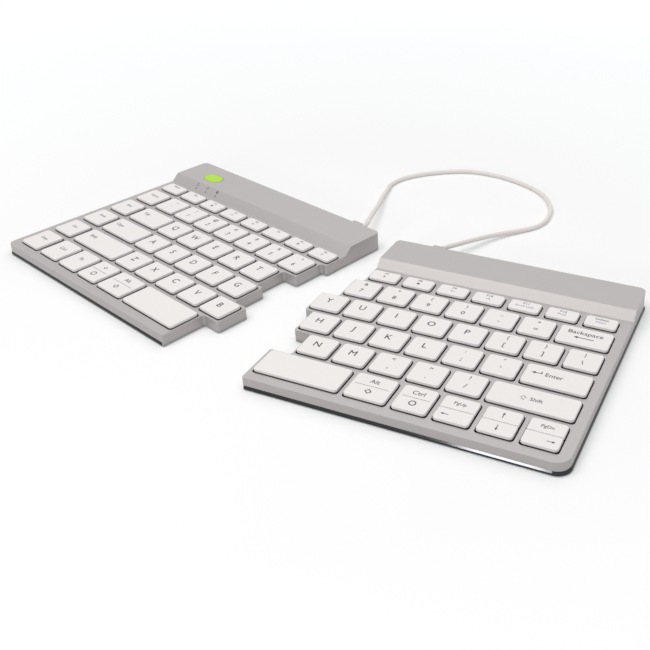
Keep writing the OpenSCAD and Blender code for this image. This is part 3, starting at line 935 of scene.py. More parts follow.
@dataclass
class Typesetter:
    """Turns words and signs into flat faces."""

    capital: float = 0.682  # share of the type size that a capital's height takes
    stroke: float = 0.16  # width of a sign's lines, as a share of its height
    arrow_length: float = 1.6  # length of the usual arrow, in the same shares
    weight: float = 0.014  # how far a letter's edges are moved outwards, as a share of a capital's height
    fineness: int = 3  # straight pieces in each bow of a letter

    def __post_init__(self) -> None:
        """Keeps each word's faces for the next time it is set."""
        self._set: dict[str, tuple[list[Point], list[list[int]]]] = {}

    def word(self, text: str) -> tuple[list[Point], list[list[int]]]:
        """Sets a word in the built-in type, with its capitals one unit high.

        Args:
            text: The word.

        Returns:
            Points, centred on the word's width and the capitals' height, and faces on them.
        """
        if text not in self._set:
            curve = bpy.data.curves.new("type", "FONT")
            curve.body = text
            curve.size = 1 / self.capital
            curve.bevel_depth = self.weight
            curve.bevel_resolution = 0
            curve.resolution_u = self.fineness
            holder = bpy.data.objects.new("type", curve)
            bpy.context.scene.collection.objects.link(holder)
            mesh = evaluated_mesh(holder)
            upward = [polygon for polygon in mesh.polygons if polygon.normal.z > 0.001]
            used = sorted({index for polygon in upward for index in polygon.vertices})
            spots = [mesh.vertices[index].co for index in used]
            middle = (min(spot.x for spot in spots) + max(spot.x for spot in spots)) / 2
            points = [(spot.x - middle, spot.y - 0.5) for spot in spots]
            number = {index: place for place, index in enumerate(used)}
            faces = [[number[index] for index in polygon.vertices] for polygon in upward]
            self._set[text] = (points, faces)
            bpy.data.meshes.remove(mesh)
            remove_object(holder)
        return self._set[text]

    def outlines(self, sign: Sign, width: float) -> list[list[Point]]:
        """Draws a sign one unit high.

        Args:
            sign: The sign.
            width: Width of a dividing line or length of an arrow, in the same units.

        Returns:
            Outlines of its filled shapes.
        """
        reach, line, half = (width or self.arrow_length) / 2, self.stroke / 2, width / 2
        neck = reach - 0.6
        head = [(neck, -line), (neck, -0.3), (reach, 0), (neck, 0.3), (neck, line)]
        arrow = [(-reach, -line), *head, (-reach, line)]
        back = [(-x, -y) for x, y in arrow]
        stem = [(reach - 2 * line, -line), (reach, -line), (reach, 0.5), (reach - 2 * line, 0.5)]
        foot = [(-0.2, -0.05), (-0.2, -0.5), (0.2, -0.5), (0.2, -0.05)]
        block = [*foot[1:], (0.5, -0.05), (0, 0.5), (-0.5, -0.05), foot[0]]
        diamond = [(0, -0.5), (0.5, 0), (0, 0.5), (-0.5, 0)]
        drawn = {
            Sign.AHEAD: [arrow],
            Sign.BACK: [back],
            Sign.UP: [[(-y, x) for x, y in arrow]],
            Sign.DOWN: [[(y, -x) for x, y in arrow]],
            Sign.RETURN: [back, stem],
            Sign.SHIFT: self._frame(block, 1 - 1.6 * self.stroke),
            Sign.RING: self._frame(circle((0, 0), 0.5, 20), 1 - 2 * self.stroke),
            Sign.DIAMOND: self._frame(diamond, 1 - 2.4 * self.stroke),
            Sign.PLAY: [[(-0.4, -0.45), (0.45, 0), (-0.4, 0.45)]],
            Sign.STOP: [[(-0.4, -0.4), (0.4, -0.4), (0.4, 0.4), (-0.4, 0.4)]],
            Sign.DOT: [circle((0, 0), 0.5, 16)],
            Sign.BAR: [[(-half, -0.5), (half, -0.5), (half, 0.5), (-half, 0.5)]],
        }
        return drawn[sign]

    @staticmethod
    def _frame(outline: Sequence[Point], inner: float) -> list[list[Point]]:
        """The band between an outline and a smaller copy of it."""
        small = [(x * inner, y * inner) for x, y in outline]
        return [[outline[k - 1], outline[k], small[k], small[k - 1]] for k in range(len(outline))]

    def set(self, solid: Solid, item: Print, place: Matrix, finish: int) -> None:
        """Adds a print's faces to a solid.

        Args:
            solid: Where the faces go.
            item: The print.
            place: From the print's own plane, with its middle at the origin, to the layout frame.
            finish: Which of the piece's finishes the faces take.
        """
        if isinstance(item.mark, Sign):
            outlines = self.outlines(item.mark, item.width / item.height)
            points = [point for outline in outlines for point in outline]
            ends = [sum(len(outline) for outline in outlines[:k]) for k in range(len(outlines) + 1)]
            faces = [list(range(first, last)) for first, last in zip(ends, ends[1:])]
        else:
            points, faces = self.word(item.mark)
        spots = [Vector((item.x + x * item.height, item.y + y * item.height, 0)) for x, y in points]
        corners = [solid.mesh.verts.new(place @ spot) for spot in spots]
        up = place.to_3x3() @ Vector((0, 0, 1))
        for face in faces:
            made = solid.mesh.faces.new([corners[index] for index in face])
            made.normal_update()
            if made.normal.dot(up) < 0:
                made.normal_flip()
            made.material_index = finish


# Keys


@dataclass(frozen=True)
class Key:
    """A key: where it lies and what is printed on it."""

    place: KeyPlace
    prints: tuple[Print, ...] = ()


def letter(text: str) -> tuple[Print, ...]:
    """The print of a letter key."""
    return (Print(text, height=3.8 * MM, x=-0.8 * MM, y=1.1 * MM),)


def stacked(upper: str, lower: str) -> tuple[Print, ...]:
    """The print of a key with two characters, one behind the other."""
    return Print(upper, height=2.5 * MM, y=4.2 * MM), Print(lower, height=3 * MM, y=-2.2 * MM)


def function(text: str, below: str | Sign = "") -> tuple[Print, ...]:
    """The print of a function key, with a sign or a second word below its name."""
    name = Print(text, height=1.7 * MM, y=2.3 * MM)
    if not below:
        return (name,)
    if isinstance(below, Sign):
        return name, Print(below, height=1.7 * MM, y=-0.7 * MM)
    return name, Print(below, height=1.5 * MM, y=-0.4 * MM, second=True)


def split(upper: str | Sign, lower: str | Sign, line: float) -> tuple[Print, ...]:
    """The print of a key with two meanings and a line of the given width between them."""
    return (
        Print(upper, height=2.6 * MM, y=4.3 * MM),
        Print(Sign.BAR, height=0.22 * MM, width=line, y=0.6 * MM),
        Print(lower, height=3.6 * MM, y=-3.2 * MM),
    )


def words(text: str, x: float = 0.0, height: float = 2.3 * MM) -> tuple[Print, ...]:
    """The print of a key with a word on it."""
    return (Print(text, height, x=x, y=1.5 * MM),)


@dataclass(frozen=True)
class KeyField:
    """The keys of one half, by the part's nodes."""

    half: HalfLayout
    narrow_line: float = 13 * MM  # width of the dividing line on a narrow key
    wide_line: float = 17 * MM  # the same on a wide key
    side_word: float = 1.9 * MM  # height of the words in the outer column
    arrow: float = 2.4 * MM  # height of the arrows on the half height keys
    arrow_shift: float = 4 * MM  # how far the outer arrows stand from the middle of their keys
    page_word: float = 1.9 * MM  # height of the words on the half height keys

    def nodes(self) -> dict[str, list[Key]]:
        """Every key node of this half with its keys."""
        groups = self._left_groups() if self.half.side is Side.LEFT else self._right_groups()
        rows = ("zxcvb", "asdfg", "qwert") if self.half.side is Side.LEFT else ("nm", "hjkl", "yuiop")
        first = 1 if self.half.side is Side.LEFT else 0
        for row, letters in enumerate(rows, start=1):
            for column, name in enumerate(letters, start=first):
                groups[f"key_{name}"] = [Key(self.half.key(row, column), letter(name.upper()))]
        return groups

    def _row(self, row: int, first: int, prints: Iterable[tuple[Print, ...]]) -> list[Key]:
        """Keys of a row from a given one on, one for each print."""
        return [Key(self.half.key(row, column), item) for column, item in enumerate(prints, start=first)]

    def _left_groups(self) -> dict[str, list[Key]]:
        """The left half's keys that move in groups."""
        signs = (Sign.DOT, Sign.RING, Sign.PLAY, "", Sign.STOP, Sign.DIAMOND)
        functions = [function(f"F{number}", sign) for number, sign in enumerate(signs, start=1)]
        numbers = [stacked(upper, lower) for upper, lower in zip("~!@#$%^", "`123456")]
        functions = [function("Pause"), function("Esc"), *functions]
        pairs = [split(Sign.DIAMOND, Sign.RING, self.narrow_line), split("Alt", Sign.DIAMOND, self.wide_line)]
        side = ("Copy", "Cut", "Paste", "End", "Home")
        modifiers = self._row(0, 0, [words("Ctrl"), words("Fn"), *pairs])
        modifiers += self._row(1, 0, [words("Shift", x=-12 * MM)])
        modifiers += self._row(2, 0, [words("Caps", x=-8.5 * MM)])
        modifiers += self._row(3, 0, [words("Tab", x=-6.5 * MM)])
        modifiers += [
            Key(self.half.side_key(row), words(text, height=self.side_word)) for row, text in enumerate(side)
        ]
        return {
            "left_space_bar": self._row(0, 4, [()]),
            "left_function_keys": self._row(self.half.last_row, 0, functions),
            "left_number_keys": self._row(4, 0, numbers),
            "left_modifier_keys": modifiers,
        }

    def _right_groups(self) -> dict[str, list[Key]]:
        """The right half's keys that move in groups."""
        signs = (Sign.PLAY, Sign.DOT, Sign.BACK, Sign.AHEAD, "Scroll Lock", "PrtSc")
        functions = [function(f"F{number}", sign) for number, sign in enumerate(signs, start=7)]
        numbers = [stacked(upper, lower) for upper, lower in zip("&*()_+", "7890-=")]
        symbols = self._row(3, 5, [stacked("{", "["), stacked("}", "]"), stacked("|", "\\")])
        symbols += self._row(2, 4, [stacked(":", ";"), stacked('"', "'")])
        symbols += self._row(1, 2, [stacked("<", ","), stacked(">", "."), stacked("?", "/")])
        functions.append(function("Delete", "Insert"))
        enter = (
            Print(Sign.RETURN, height=3.1 * MM, x=-9.6 * MM, y=1 * MM),
            Print("Enter", height=2.6 * MM, x=-1.3 * MM, y=1 * MM),
        )
        shift = (
            Print(Sign.SHIFT, height=3.1 * MM, x=-4.6 * MM),
            Print("Shift", height=2.3 * MM, x=1.4 * MM),
        )
        erase = (
            Print("Backspace", height=2.9 * MM, y=3 * MM),
            Print(Sign.BACK, height=3.4 * MM, y=-1.4 * MM, width=10 * MM),
        )
        pairs = [split("Alt", Sign.DIAMOND, self.wide_line), split("Ctrl", Sign.RING, self.narrow_line)]
        modifiers = self._row(0, 1, pairs)
        modifiers += self._row(1, 5, [shift])
        modifiers += self._row(2, 6, [enter])
        modifiers += self._row(4, 6, [erase])
        return {
            "right_space_bar": self._row(0, 0, [()]),
            "right_function_keys": self._row(self.half.last_row, 0, functions),
            "right_number_keys": self._row(4, 0, numbers),
            "right_symbol_keys": symbols,
            "right_modifier_keys": modifiers,
            "arrow_keys": self._arrows(),
        }

    def _arrows(self) -> list[Key]:
        """The three pairs of half height keys."""
        arrow, shift = self.arrow, self.arrow_shift
        ways = ((Sign.BACK, -shift), (Sign.DOWN, 0.0), (Sign.AHEAD, shift))
        lower = [Print(sign, arrow, x=x) for sign, x in ways]
        upper = (Print("PgUp", self.page_word), Print(Sign.UP, arrow), Print("PgDn", self.page_word))
        first = len(self.half.rows[0].widths) - len(lower)
        keys = [Key(self.half.half_key(first + k, False), (item,)) for k, item in enumerate(lower)]
        keys += [Key(self.half.half_key(first + k, True), (item,)) for k, item in enumerate(upper)]
        return keys


@dataclass(frozen=True)
class Keycaps:
    """Hollow keycaps with soft edges and printed signs, on skirts painted dark grey as the shade in the gaps
    round the keys.
    """

    height: float = 2.6 * MM  # from the lower rim to the top face
    roof: float = 1.2 * MM
    wall: float = 0.8 * MM
    taper: float = 0.25 * MM  # how far the sides lean out at the rim
    corner: float = 1.6 * MM
    partner_corner: float = 0.4 * MM  # radius of the corners beside a partner key
    partner_grow: float = 0.15 * MM  # how far the edge that faces a partner key is moved towards it
    soft_edge: float = 0.3 * MM  # radius of the edge round the top face
    # how far above the deck the light sides end and the narrower skirt, painted dark grey as gap shade,
    # begins
    shoulder: float = 0.22 * MM
    rebate: float = 0.4 * MM  # how far the skirt stands back from the top face's edge
    skirt_seat: float = 0.1 * MM  # how far the skirt reaches up into the cap
    rim_edge: float = 0.08 * MM  # width of the broken edge at the shoulder
    stem: float = 2.4 * MM  # width of the square stem over the dome
    stem_length: float = 2.2 * MM
    print_rise: float = 0.012 * MM  # thickness of the ink

    def _ring(self, place: KeyPlace, grow: float, height: float) -> list[Vector]:
        """One rounded ring round a key."""
        corners = place.corners(grow, min(grow, 0) + self.partner_grow)
        radii = place.radii(self.corner, self.partner_corner)
        grown = [max(radius + grow, self.rim_edge) for radius in radii]
        return [Vector((x, y, height)) for x, y in rounded(corners, grown, 5)]

    def _skirt(self, place: KeyPlace, top: float, shoulder: float) -> list[list[Vector]]:
        """Rings of the skirt from its ceiling inside, round its lower rim, up into the cap."""
        rim, seat = top - self.height, shoulder + self.skirt_seat
        sides = [(-self.wall, top - self.roof), (-self.wall, rim), (-self.rebate, rim), (-self.rebate, seat)]
        return [self._ring(place, grow, height) for grow, height in sides]

    def _cap(self, place: KeyPlace, top: float, shoulder: float) -> list[list[Vector]]:
        """Rings of the light cap from its lower side to the top face."""
        lean = self.taper / self.height
        widest = lean * (top - shoulder)
        sides = [(widest - self.rim_edge, shoulder), (widest, shoulder + self.rim_edge)]
        steps = 4
        for step in range(steps + 1):
            angle = math.pi / 2 * step / steps
            grow = lean * self.soft_edge - self.soft_edge * (1 - math.cos(angle))
            sides.append((grow, top - self.soft_edge * (1 - math.sin(angle))))
        return [self._ring(place, grow, height) for grow, height in sides]

    def build(
        self, node: str, keys: Sequence[Key], half: HalfLayout, setter: Typesetter, looks: Finishes
    ) -> None:
        """Builds the caps of one node.

        Args:
            node: The part's node, which is also its body.
            keys: The keys of the node.
            half: The half that carries them.
            setter: Sets the prints.
            looks: The materials.
        """
        top, shoulder = half.sizes.cap_top, half.sizes.deck_height + self.shoulder
        finishes = [looks.cap, looks.ink, looks.blue_ink, looks.skirt]
        ink, blue_ink, skirt = 1, 2, 3
        solid = Solid()
        ceiling = top - self.roof
        for key in keys:
            x, y = key.place.middle
            solid.loft(self._cap(key.place, top, shoulder))
            # the skirt takes the dark grey that paints the shade in the gap round the key
            solid.loft(self._skirt(key.place, top, shoulder), skirt)
            low = (x - self.stem / 2, y - self.stem / 2, ceiling - self.stem_length)
            solid.box(low, (x + self.stem / 2, y + self.stem / 2, ceiling), skirt)
        solid.outward()
        for key in keys:
            middle = Matrix.Translation((*key.place.middle, top + self.print_rise))
            for item in key.prints:
                setter.set(solid, item, middle, blue_ink if item.second else ink)
        settle(solid, half, f"{node}_caps", finishes, "keycap_white", node, body=node)


@dataclass(frozen=True)
class KeyMechanisms:
    """The dome sheet of a half, and the domes and crossed links under the keys."""

    plate: float = 0.8 * MM  # thickness of the steel plate below the sheet
    sheet: float = 0.4 * MM
    edge_gap: float = 0.4 * MM  # free space between the sheet and the walls of the case
    dome_radius: float = 2.4 * MM
    low_dome_radius: float = 1.5 * MM
    dome_height: float = 2.25 * MM
    dome_sides: int = 8
    dome_seat: float = 0.2 * MM  # how far a dome reaches down into the sheet
    link: Extent = (11 * MM, 0.5 * MM, 0.8 * MM)  # length, thickness and height of a link
    link_angle: float = 14  # slope of the links, in degrees
    seat_gap: float = 0.05 * MM  # free space below the links
    wall_gap: float = 0.3 * MM  # free space from the links to the wall of the cap
    pair_gap: float = 0.25 * MM  # free space between two crossed links
    folded: float = 0.28  # share of their height that domes and links keep while a key is down

    def _sheet_top(self, sizes: Sizes) -> float:
        """Upper side of the dome sheet."""
        return sizes.base_top + self.plate + self.sheet

    def build_sheet(self, half: HalfLayout, looks: Finishes) -> None:
        """Builds the flat sheet that carries the domes of a half.

        Args:
            half: The half.
            looks: The materials.
        """
        sizes = half.sizes
        top = self._sheet_top(sizes)
        bottom = top - self.sheet
        sheet = Solid().prism(half.outline(sizes.wall + self.edge_gap), bottom, top)
        low, high = bottom - self.sheet, top + self.sheet
        across = sorted((half.from_outer(0), half.from_outer(sizes.outer_margin)))
        sides = sorted((half.from_outer(0), half.step_edge(half.last_row)))
        rear = Solid().box((sides[0], sizes.slope_foot, low), (sides[1], sizes.back_edge, high))
        margin = Solid().box((across[0], sizes.front_edge, low), (across[1], sizes.back_edge, high))
        sheet.combined(rear, Operation.CUT).combined(margin, Operation.CUT).outward()
        name = half.side.value
        nodes = (f"{name}_dome_sheet", f"{name}_scissor_links")
        # the sheet takes the near-black rubber that paints the shade below the keys
        settle(sheet, half, f"{name}_sheet", [looks.dome], "dome_rubber", *nodes)

    def _add_link(self, solid: Solid, x: float, y: float, angle: float, bottom: float) -> None:
        """Adds one slanted link.

        Args:
            solid: Where it goes.
            x: Its middle along x.
            y: Its middle along y.
            angle: Its slope, in degrees.
            bottom: Height of its lowest point.
        """
        length, thickness, height = self.link
        slope = math.radians(self.link_angle)
        rise = length * math.sin(slope) + height * math.cos(slope)
        place = Matrix.Translation((x, y, bottom + rise / 2)) @ Matrix.Rotation(math.radians(angle), 4, "Y")
        corners = [(-length, -thickness), (length, -thickness), (length, thickness), (-length, thickness)]
        rings = [[place @ Vector((a / 2, b / 2, c / 2)) for a, b in corners] for c in (-height, height)]
        solid.loft(rings, 1)

    def build(
        self, node: str, keys: Sequence[Key], half: HalfLayout, cap_wall: float, looks: Finishes
    ) -> None:
        """Builds the domes and links below the caps of one node.

        Args:
            node: The part's node of the caps.
            keys: The keys of the node.
            half: The half that carries them.
            cap_wall: Thickness of a cap's sides.
            looks: The materials.
        """
        sizes = half.sizes
        top = self._sheet_top(sizes)
        low_key = (sizes.cap_depth + sizes.function_depth) / 2
        solid = Solid()
        for key in keys:
            x, y = key.place.middle
            radius = self.low_dome_radius if key.place.depth < low_key else self.dome_radius
            ring = circle((x, y), radius, self.dome_sides)
            solid.prism(ring, top - self.dome_seat, top + self.dome_height)
            outer = key.place.depth / 2 - cap_wall - self.wall_gap - self.link[1] / 2
            inner = outer - self.link[1] - self.pair_gap
            for side in (-1, 1):
                self._add_link(solid, x, y + side * outer, self.link_angle, top + self.seat_gap)
                self._add_link(solid, x, y + side * inner, -self.link_angle, top + self.seat_gap)
        # near-black domes and links, as painted shade in the gaps round the keys
        finishes = [looks.dome, looks.link]
        piece = settle(solid.outward(), half, f"{node}_links", finishes, "link_plastic")
        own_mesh(piece)


def settle(
    solid: Solid,
    half: HalfLayout,
    name: str,
    finishes: Sequence[bpy.types.Material],
    slot: str,
    *nodes: str,
    body: str = "",
) -> bpy.types.Object:
    """Makes a piece of a half, places it on the table and ties it to the part.

    Args:
        solid: The finished solid, in the half's layout frame.
        half: The half.
        name: The piece's name.
        finishes: Its materials.
        slot: The record's slot for its finish; not used.
        nodes: The part's nodes that it stands for.
        body: The body that it moves with, where that isn't the half.

    Returns:
        The piece.
    """
    piece = solid.placed(half.matrix).piece(name, finishes)
    body = body or half.body
    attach(piece, body)
    if nodes:
        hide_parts(*nodes)
    LOG.info("%s rides on %s, %d faces", piece.name, body, len(piece.data.polygons))
    return piece


# Cases


@dataclass(frozen=True)
class Screws:
    """Case screws with crossed heads, and where they and the feet sit."""

    radius: float = 0.7 * MM  # radius of the thread
    length: float = 4 * MM
    head_radius: float = 1.5 * MM
    head_height: float = 0.6 * MM
    head_edge: float = 0.2 * MM
    tip_length: float = 0.5 * MM
    tip_radius: float = 0.3 * MM
    slot_reach: float = 0.9 * MM  # half the length of a slot in the head
    slot_width: float = 0.17 * MM  # half the width of a slot
    slot_depth: float = 0.35 * MM
    boss_radius: float = 1.9 * MM  # radius of the case's boss round the screw
    hole_radius: float = 0.8 * MM
    boss_wall_gap: float = 0.2 * MM
    tip_gap: float = 0.4 * MM
    bar_inset: float = 7.4 * MM  # distance of the rear screws from the ends of the bar
    play: float = 0.3 * MM  # free space round the screw in the base plate

    def places(self, half: HalfLayout) -> list[Point]:
        """Where the screws of a half sit."""
        sizes = half.sizes
        edge = half.from_outer(sizes.wall + self.boss_wall_gap + self.boss_radius)
        return [
            (edge, sizes.bottom_front + sizes.bottom_depth / 2),
            (edge, 3 * sizes.key_pitch + sizes.cap_depth / 2),
            (half.from_outer(self.bar_inset), sizes.bar_middle),
            (half.from_step(half.last_row, self.bar_inset), sizes.bar_middle),
        ]

    def build(self, half: HalfLayout, looks: Finishes) -> None:
        """Builds the screws of a half.

        Args:
            half: The half.
            looks: The materials.
        """
        bottom, arm, slit = half.sizes.foot_height, self.slot_reach, self.slot_width
        profile = [
            (self.head_radius - self.head_edge, 0),
            (self.head_radius, self.head_edge),
            (self.head_radius, self.head_height),
            (self.radius, self.head_height),
            (self.radius, self.length - self.tip_length),
            (self.tip_radius, self.length),
        ]
        quarter = [(-arm, -slit), (-slit, -slit), (-slit, -arm)]
        cross = quarter + [(-y, x) for x, y in quarter]
        cross += [(-x, -y) for x, y in cross]
        solid, slots = Solid(), Solid()
        for x, y in self.places(half):
            solid.lathe(profile, Matrix.Translation((x, y, bottom)), 24)
            slots.prism([(x + dx, y + dy) for dx, dy in cross], bottom - PAST / 2, bottom + self.slot_depth)
        solid.combined(slots, Operation.CUT)
        name = f"{half.side.value}_case_screws"
        settle(solid, half, f"{name}_crossed", [looks.steel], "screw_steel", name)


@dataclass(frozen=True)
class TopCase:
    """The upper shell of a half: deck with key openings, sloped rear bar and stepped inner walls."""

    soft_edge: float = 0.6 * MM
    opening_edge: float = 0.12 * MM
    seam_edge: float = 0.14 * MM
    boot_gap: float = 0.1 * MM
    strip_gap: float = 0.05 * MM  # free space behind the polished strip
    opening_reach: float = 0.05 * MM  # how far beside an opening an edge still belongs to it
    tolerance: float = 0.01 * MM  # how far a point may lie from the height that is looked for

    def _block(self, half: HalfLayout, inset: float, bottom: float) -> Solid:
        """The half's whole shape, made smaller by an inset.

        Args:
            half: The half.
            inset: Distance inwards from every face.
            bottom: Height of its lower side.

        Returns:
            The shape.
        """
        sizes = half.sizes
        deck, bar = sizes.deck_height - inset, sizes.bar_height - inset
        angle = math.atan2(sizes.bar_height - sizes.deck_height, sizes.slope_depth)
        shift = inset * math.tan(angle / 2)
        above = bar + sizes.wall
        ahead = sizes.front_edge - sizes.wall
        profile = [
            (ahead, deck), (sizes.slope_foot + shift, deck), (sizes.slope_top + shift, bar),
            (sizes.slope_top + shift, above), (ahead, above),
        ]
        edges = [half.outer] + [half.step_edge(row) for row in range(len(half.rows))]
        start = min(edges) - sizes.wall
        length = max(edges) - min(edges) + 2 * sizes.wall
        seam = sizes.seam_lean
        levels = ((bottom, seam), (sizes.strip_top, seam), (sizes.deck_height, 1), (bar, 1))
        rings = [[Vector((x, y, z)) for x, y in half.outline(inset, lean)] for z, lean in levels]
        return Solid().loft(rings).combined(Solid().bar(start, length, profile), Operation.CUT)

    def _strip_zone(self, half: HalfLayout) -> list[Point]:
        """The corner-shaped zone along the front and the outer side that the polished strip fills."""
        sizes = half.sizes
        past, wall = sizes.wall, sizes.wall + self.strip_gap
        inner = half.from_step(0, sizes.strip_end_inset)
        back = sizes.back_edge - sizes.rear_radius
        outside, inside = half.from_outer(-past), half.from_outer(wall)
        front = sizes.front_edge
        return [
            (outside, front - past), (inner, front - past), (inner, front + wall), (inside, front + wall),
            (inside, back), (outside, back),
        ]

    def _cuts(self, half: HalfLayout, screws: Screws, fittings: "RearFittings") -> Solid:
        """Everything that is cut out of the shell.

        Args:
            half: The half.
            screws: Its screws.
            fittings: What sits in the rear bar.

        Returns:
            The openings, holes and slots in one solid.
        """
        sizes = half.sizes
        cuts = Solid()
        for place in half.openings():
            outline = rounded(place.corners(sizes.opening_margin), [sizes.opening_corner] * 4, 6)
            cuts.prism(outline, sizes.opening_bottom, sizes.deck_height + MM)
        for at in screws.places(half):
            tip = sizes.foot_height + screws.length + screws.tip_gap
            cuts.prism(circle(at, screws.hole_radius, 16), sizes.base_top - PAST, tip)
        cuts.prism(self._strip_zone(half), sizes.base_top - PAST, sizes.strip_top)
        radius = sizes.boot_radius + self.boot_gap
        past = fittings.collar_size[1] + PAST
        length = sizes.wall + past + PAST
        behind = Matrix.Translation((fittings.boot_x(half), sizes.back_edge + past, sizes.boot_height))
        cuts.lathe([(radius, 0), (radius, length)], behind @ Matrix.Rotation(math.pi / 2, 4, "X"))
        if half.side is Side.LEFT:
            fittings.cut(half, cuts)
        return cuts

    def build(self, half: HalfLayout, screws: Screws, fittings: "RearFittings", looks: Finishes) -> None:
        """Builds the shell of a half.

        Args:
            half: The half.
            screws: Its screws, which need bosses and holes.
            fittings: What sits in the rear bar.
            looks: The materials.
        """
        sizes = half.sizes
        shell = self._block(half, 0, sizes.base_top)
        shell.combined(self._block(half, sizes.wall, sizes.base_top - PAST), Operation.CUT)
        bosses = Solid()
        for at in screws.places(half):
            roof = sizes.bar_height if at[1] > sizes.slope_top else sizes.deck_height
            bosses.prism(circle(at, screws.boss_radius), sizes.base_top, roof - sizes.wall / 2)
        shell.combined(bosses, Operation.JOIN)
        shell.combined(fittings.collar(half), Operation.JOIN)
        shell.combined(self._cuts(half, screws, fittings), Operation.CUT)
        openings = half.openings()
        near = sizes.opening_margin + self.opening_reach

        def on_deck(edge: bmesh.types.BMEdge) -> bool:
            """Whether a sharp edge lies at the deck or above it."""
            lowest = min(vertex.co.z for vertex in edge.verts)
            return lowest > sizes.deck_height - self.tolerance and edge.calc_face_angle(0.0) > Solid.SHARP

        def in_opening(edge: bmesh.types.BMEdge) -> bool:
            """Whether an edge belongs to a key opening."""
            middle = (edge.verts[0].co + edge.verts[1].co) / 2
            return any(
                place.left - near < middle.x < place.right + near
                and place.front - near < middle.y < place.front + place.depth + near
                for place in openings
            )

        def upper_edge(edge: bmesh.types.BMEdge) -> bool:
            """Whether an edge bounds the upper faces."""
            return on_deck(edge) and not in_opening(edge)

        def opening_edge(edge: bmesh.types.BMEdge) -> bool:
            """Whether an edge is the rim of a key opening."""
            return on_deck(edge) and in_opening(edge)

        def seam_edge(edge: bmesh.types.BMEdge) -> bool:
            """Whether an edge lies at the seam with the base or with the strip."""
            heights = (sizes.base_top, sizes.strip_top)
            return any(all(abs(v.co.z - height) < self.tolerance for v in edge.verts) for height in heights)

        shell.bevelled(self.soft_edge, 4, upper_edge)
        shell.bevelled(self.opening_edge, 2, opening_edge)
        shell.bevelled(self.seam_edge, 2, seam_edge)
        name = f"{half.side.value}_top_case"
        settle(shell, half, f"{name}_shell", [looks.case], "case_silver", name)


@dataclass(frozen=True)
class BasePlate:
    """The floor of a half with its board ribs and the polished strip at the front and the outer side."""

    edge: float = 0.14 * MM
    strip_gap: float = 0.06 * MM  # distance of the strip from the faces above and below it
    strip_out: float = 0.12 * MM  # how far the strip's upright lower face stands out
    strip_upright: float = 0.85 * MM  # height of that face
    strip_bend: float = 0.4 * MM  # radius between it and the slanted upper face
    strip_slant: float = 30.0  # slant of the upper face, in degrees from upright
    rib_depth: float = 2 * MM
    rib_top: float = 4 * MM
    board_depth: float = 14 * MM
    board_gap: float = 0.4 * MM  # free space behind the board

    def _strip_path(self, half: HalfLayout) -> list[tuple[Vector, Vector]]:
        """Points along the strip, from its inner front end to the rear, with the outward direction."""
        sizes = half.sizes
        ahead = Vector((0, -1, 0))
        aside = Vector((-half.inward, 0, 0))
        radius = half.corner_radius
        path = [(Vector((half.from_step(0, sizes.strip_end_inset), sizes.front_edge, 0)), ahead)]
        centre = Vector((half.from_outer(radius), sizes.front_edge + radius, 0))
        steps = 12
        for step in range(steps + 1):
            angle = math.pi / 2 * step / steps
            direction = ahead * math.cos(angle) + aside * math.sin(angle)
            path.append((centre + direction * radius, direction))
        path.append((Vector((half.outer, sizes.back_edge - sizes.rear_radius, 0)), aside))
        return path

    def _strip(self, half: HalfLayout) -> list[list[Vector]]:
        """Rings of the strip along its path."""
        sizes = half.sizes
        bottom, top = sizes.foot_height + self.strip_gap, sizes.strip_top - self.strip_gap
        rim = self.strip_out
        profile = [(-sizes.wall, bottom), (self.strip_out - rim, bottom), (self.strip_out, bottom + rim)]
        steps = 6
        for step in range(steps + 1):
            angle = math.radians(self.strip_slant) * step / steps
            out = self.strip_out - self.strip_bend * (1 - math.cos(angle))
            profile.append((out, bottom + self.strip_upright + self.strip_bend * math.sin(angle)))
        out, height = profile[-1]
        slant = math.tan(math.radians(self.strip_slant))
        profile += [(out - (top - height) * slant, top), (-sizes.wall, top)]
        return [
            [point + direction * out + Vector((0, 0, height)) for out, height in profile]
            for point, direction in self._strip_path(half)
        ]

    def build(self, half: HalfLayout, screws: Screws, board: Pair, looks: Finishes) -> None:
        """Builds the base of a half.

        Args:
            half: The half.
            screws: Its screws, which pass through it.
            board: Left edge and length of the circuit board on its ribs.
            looks: The materials.
        """
        sizes = half.sizes
        solid = Solid().prism(half.outline(0), sizes.foot_height, sizes.base_top)
        holes = Solid()
        for at in screws.places(half):
            holes.prism(circle(at, screws.radius + screws.play, 20), 0, sizes.base_top + PAST)
        solid.combined(holes, Operation.CUT)
        sinks = Solid()
        for at in screws.places(half):
            radius = screws.head_radius + screws.play
            sinks.prism(circle(at, radius, 24), 0, sizes.foot_height + screws.head_height)
        solid.combined(sinks, Operation.CUT)
        solid.bevelled(self.edge, 2, lambda edge: True)
        board_back = sizes.back_edge - sizes.wall - self.board_gap
        for y in (board_back - self.board_depth, board_back - self.rib_depth):
            high = (board[0] + board[1], y + self.rib_depth, self.rib_top)
            solid.box((board[0], y, sizes.base_top), high)
        solid.loft(self._strip(half), 1).outward()
        name = f"{half.side.value}_base_plate"
        settle(solid, half, f"{name}_floor", [looks.base, looks.polished], "base_dark", name)


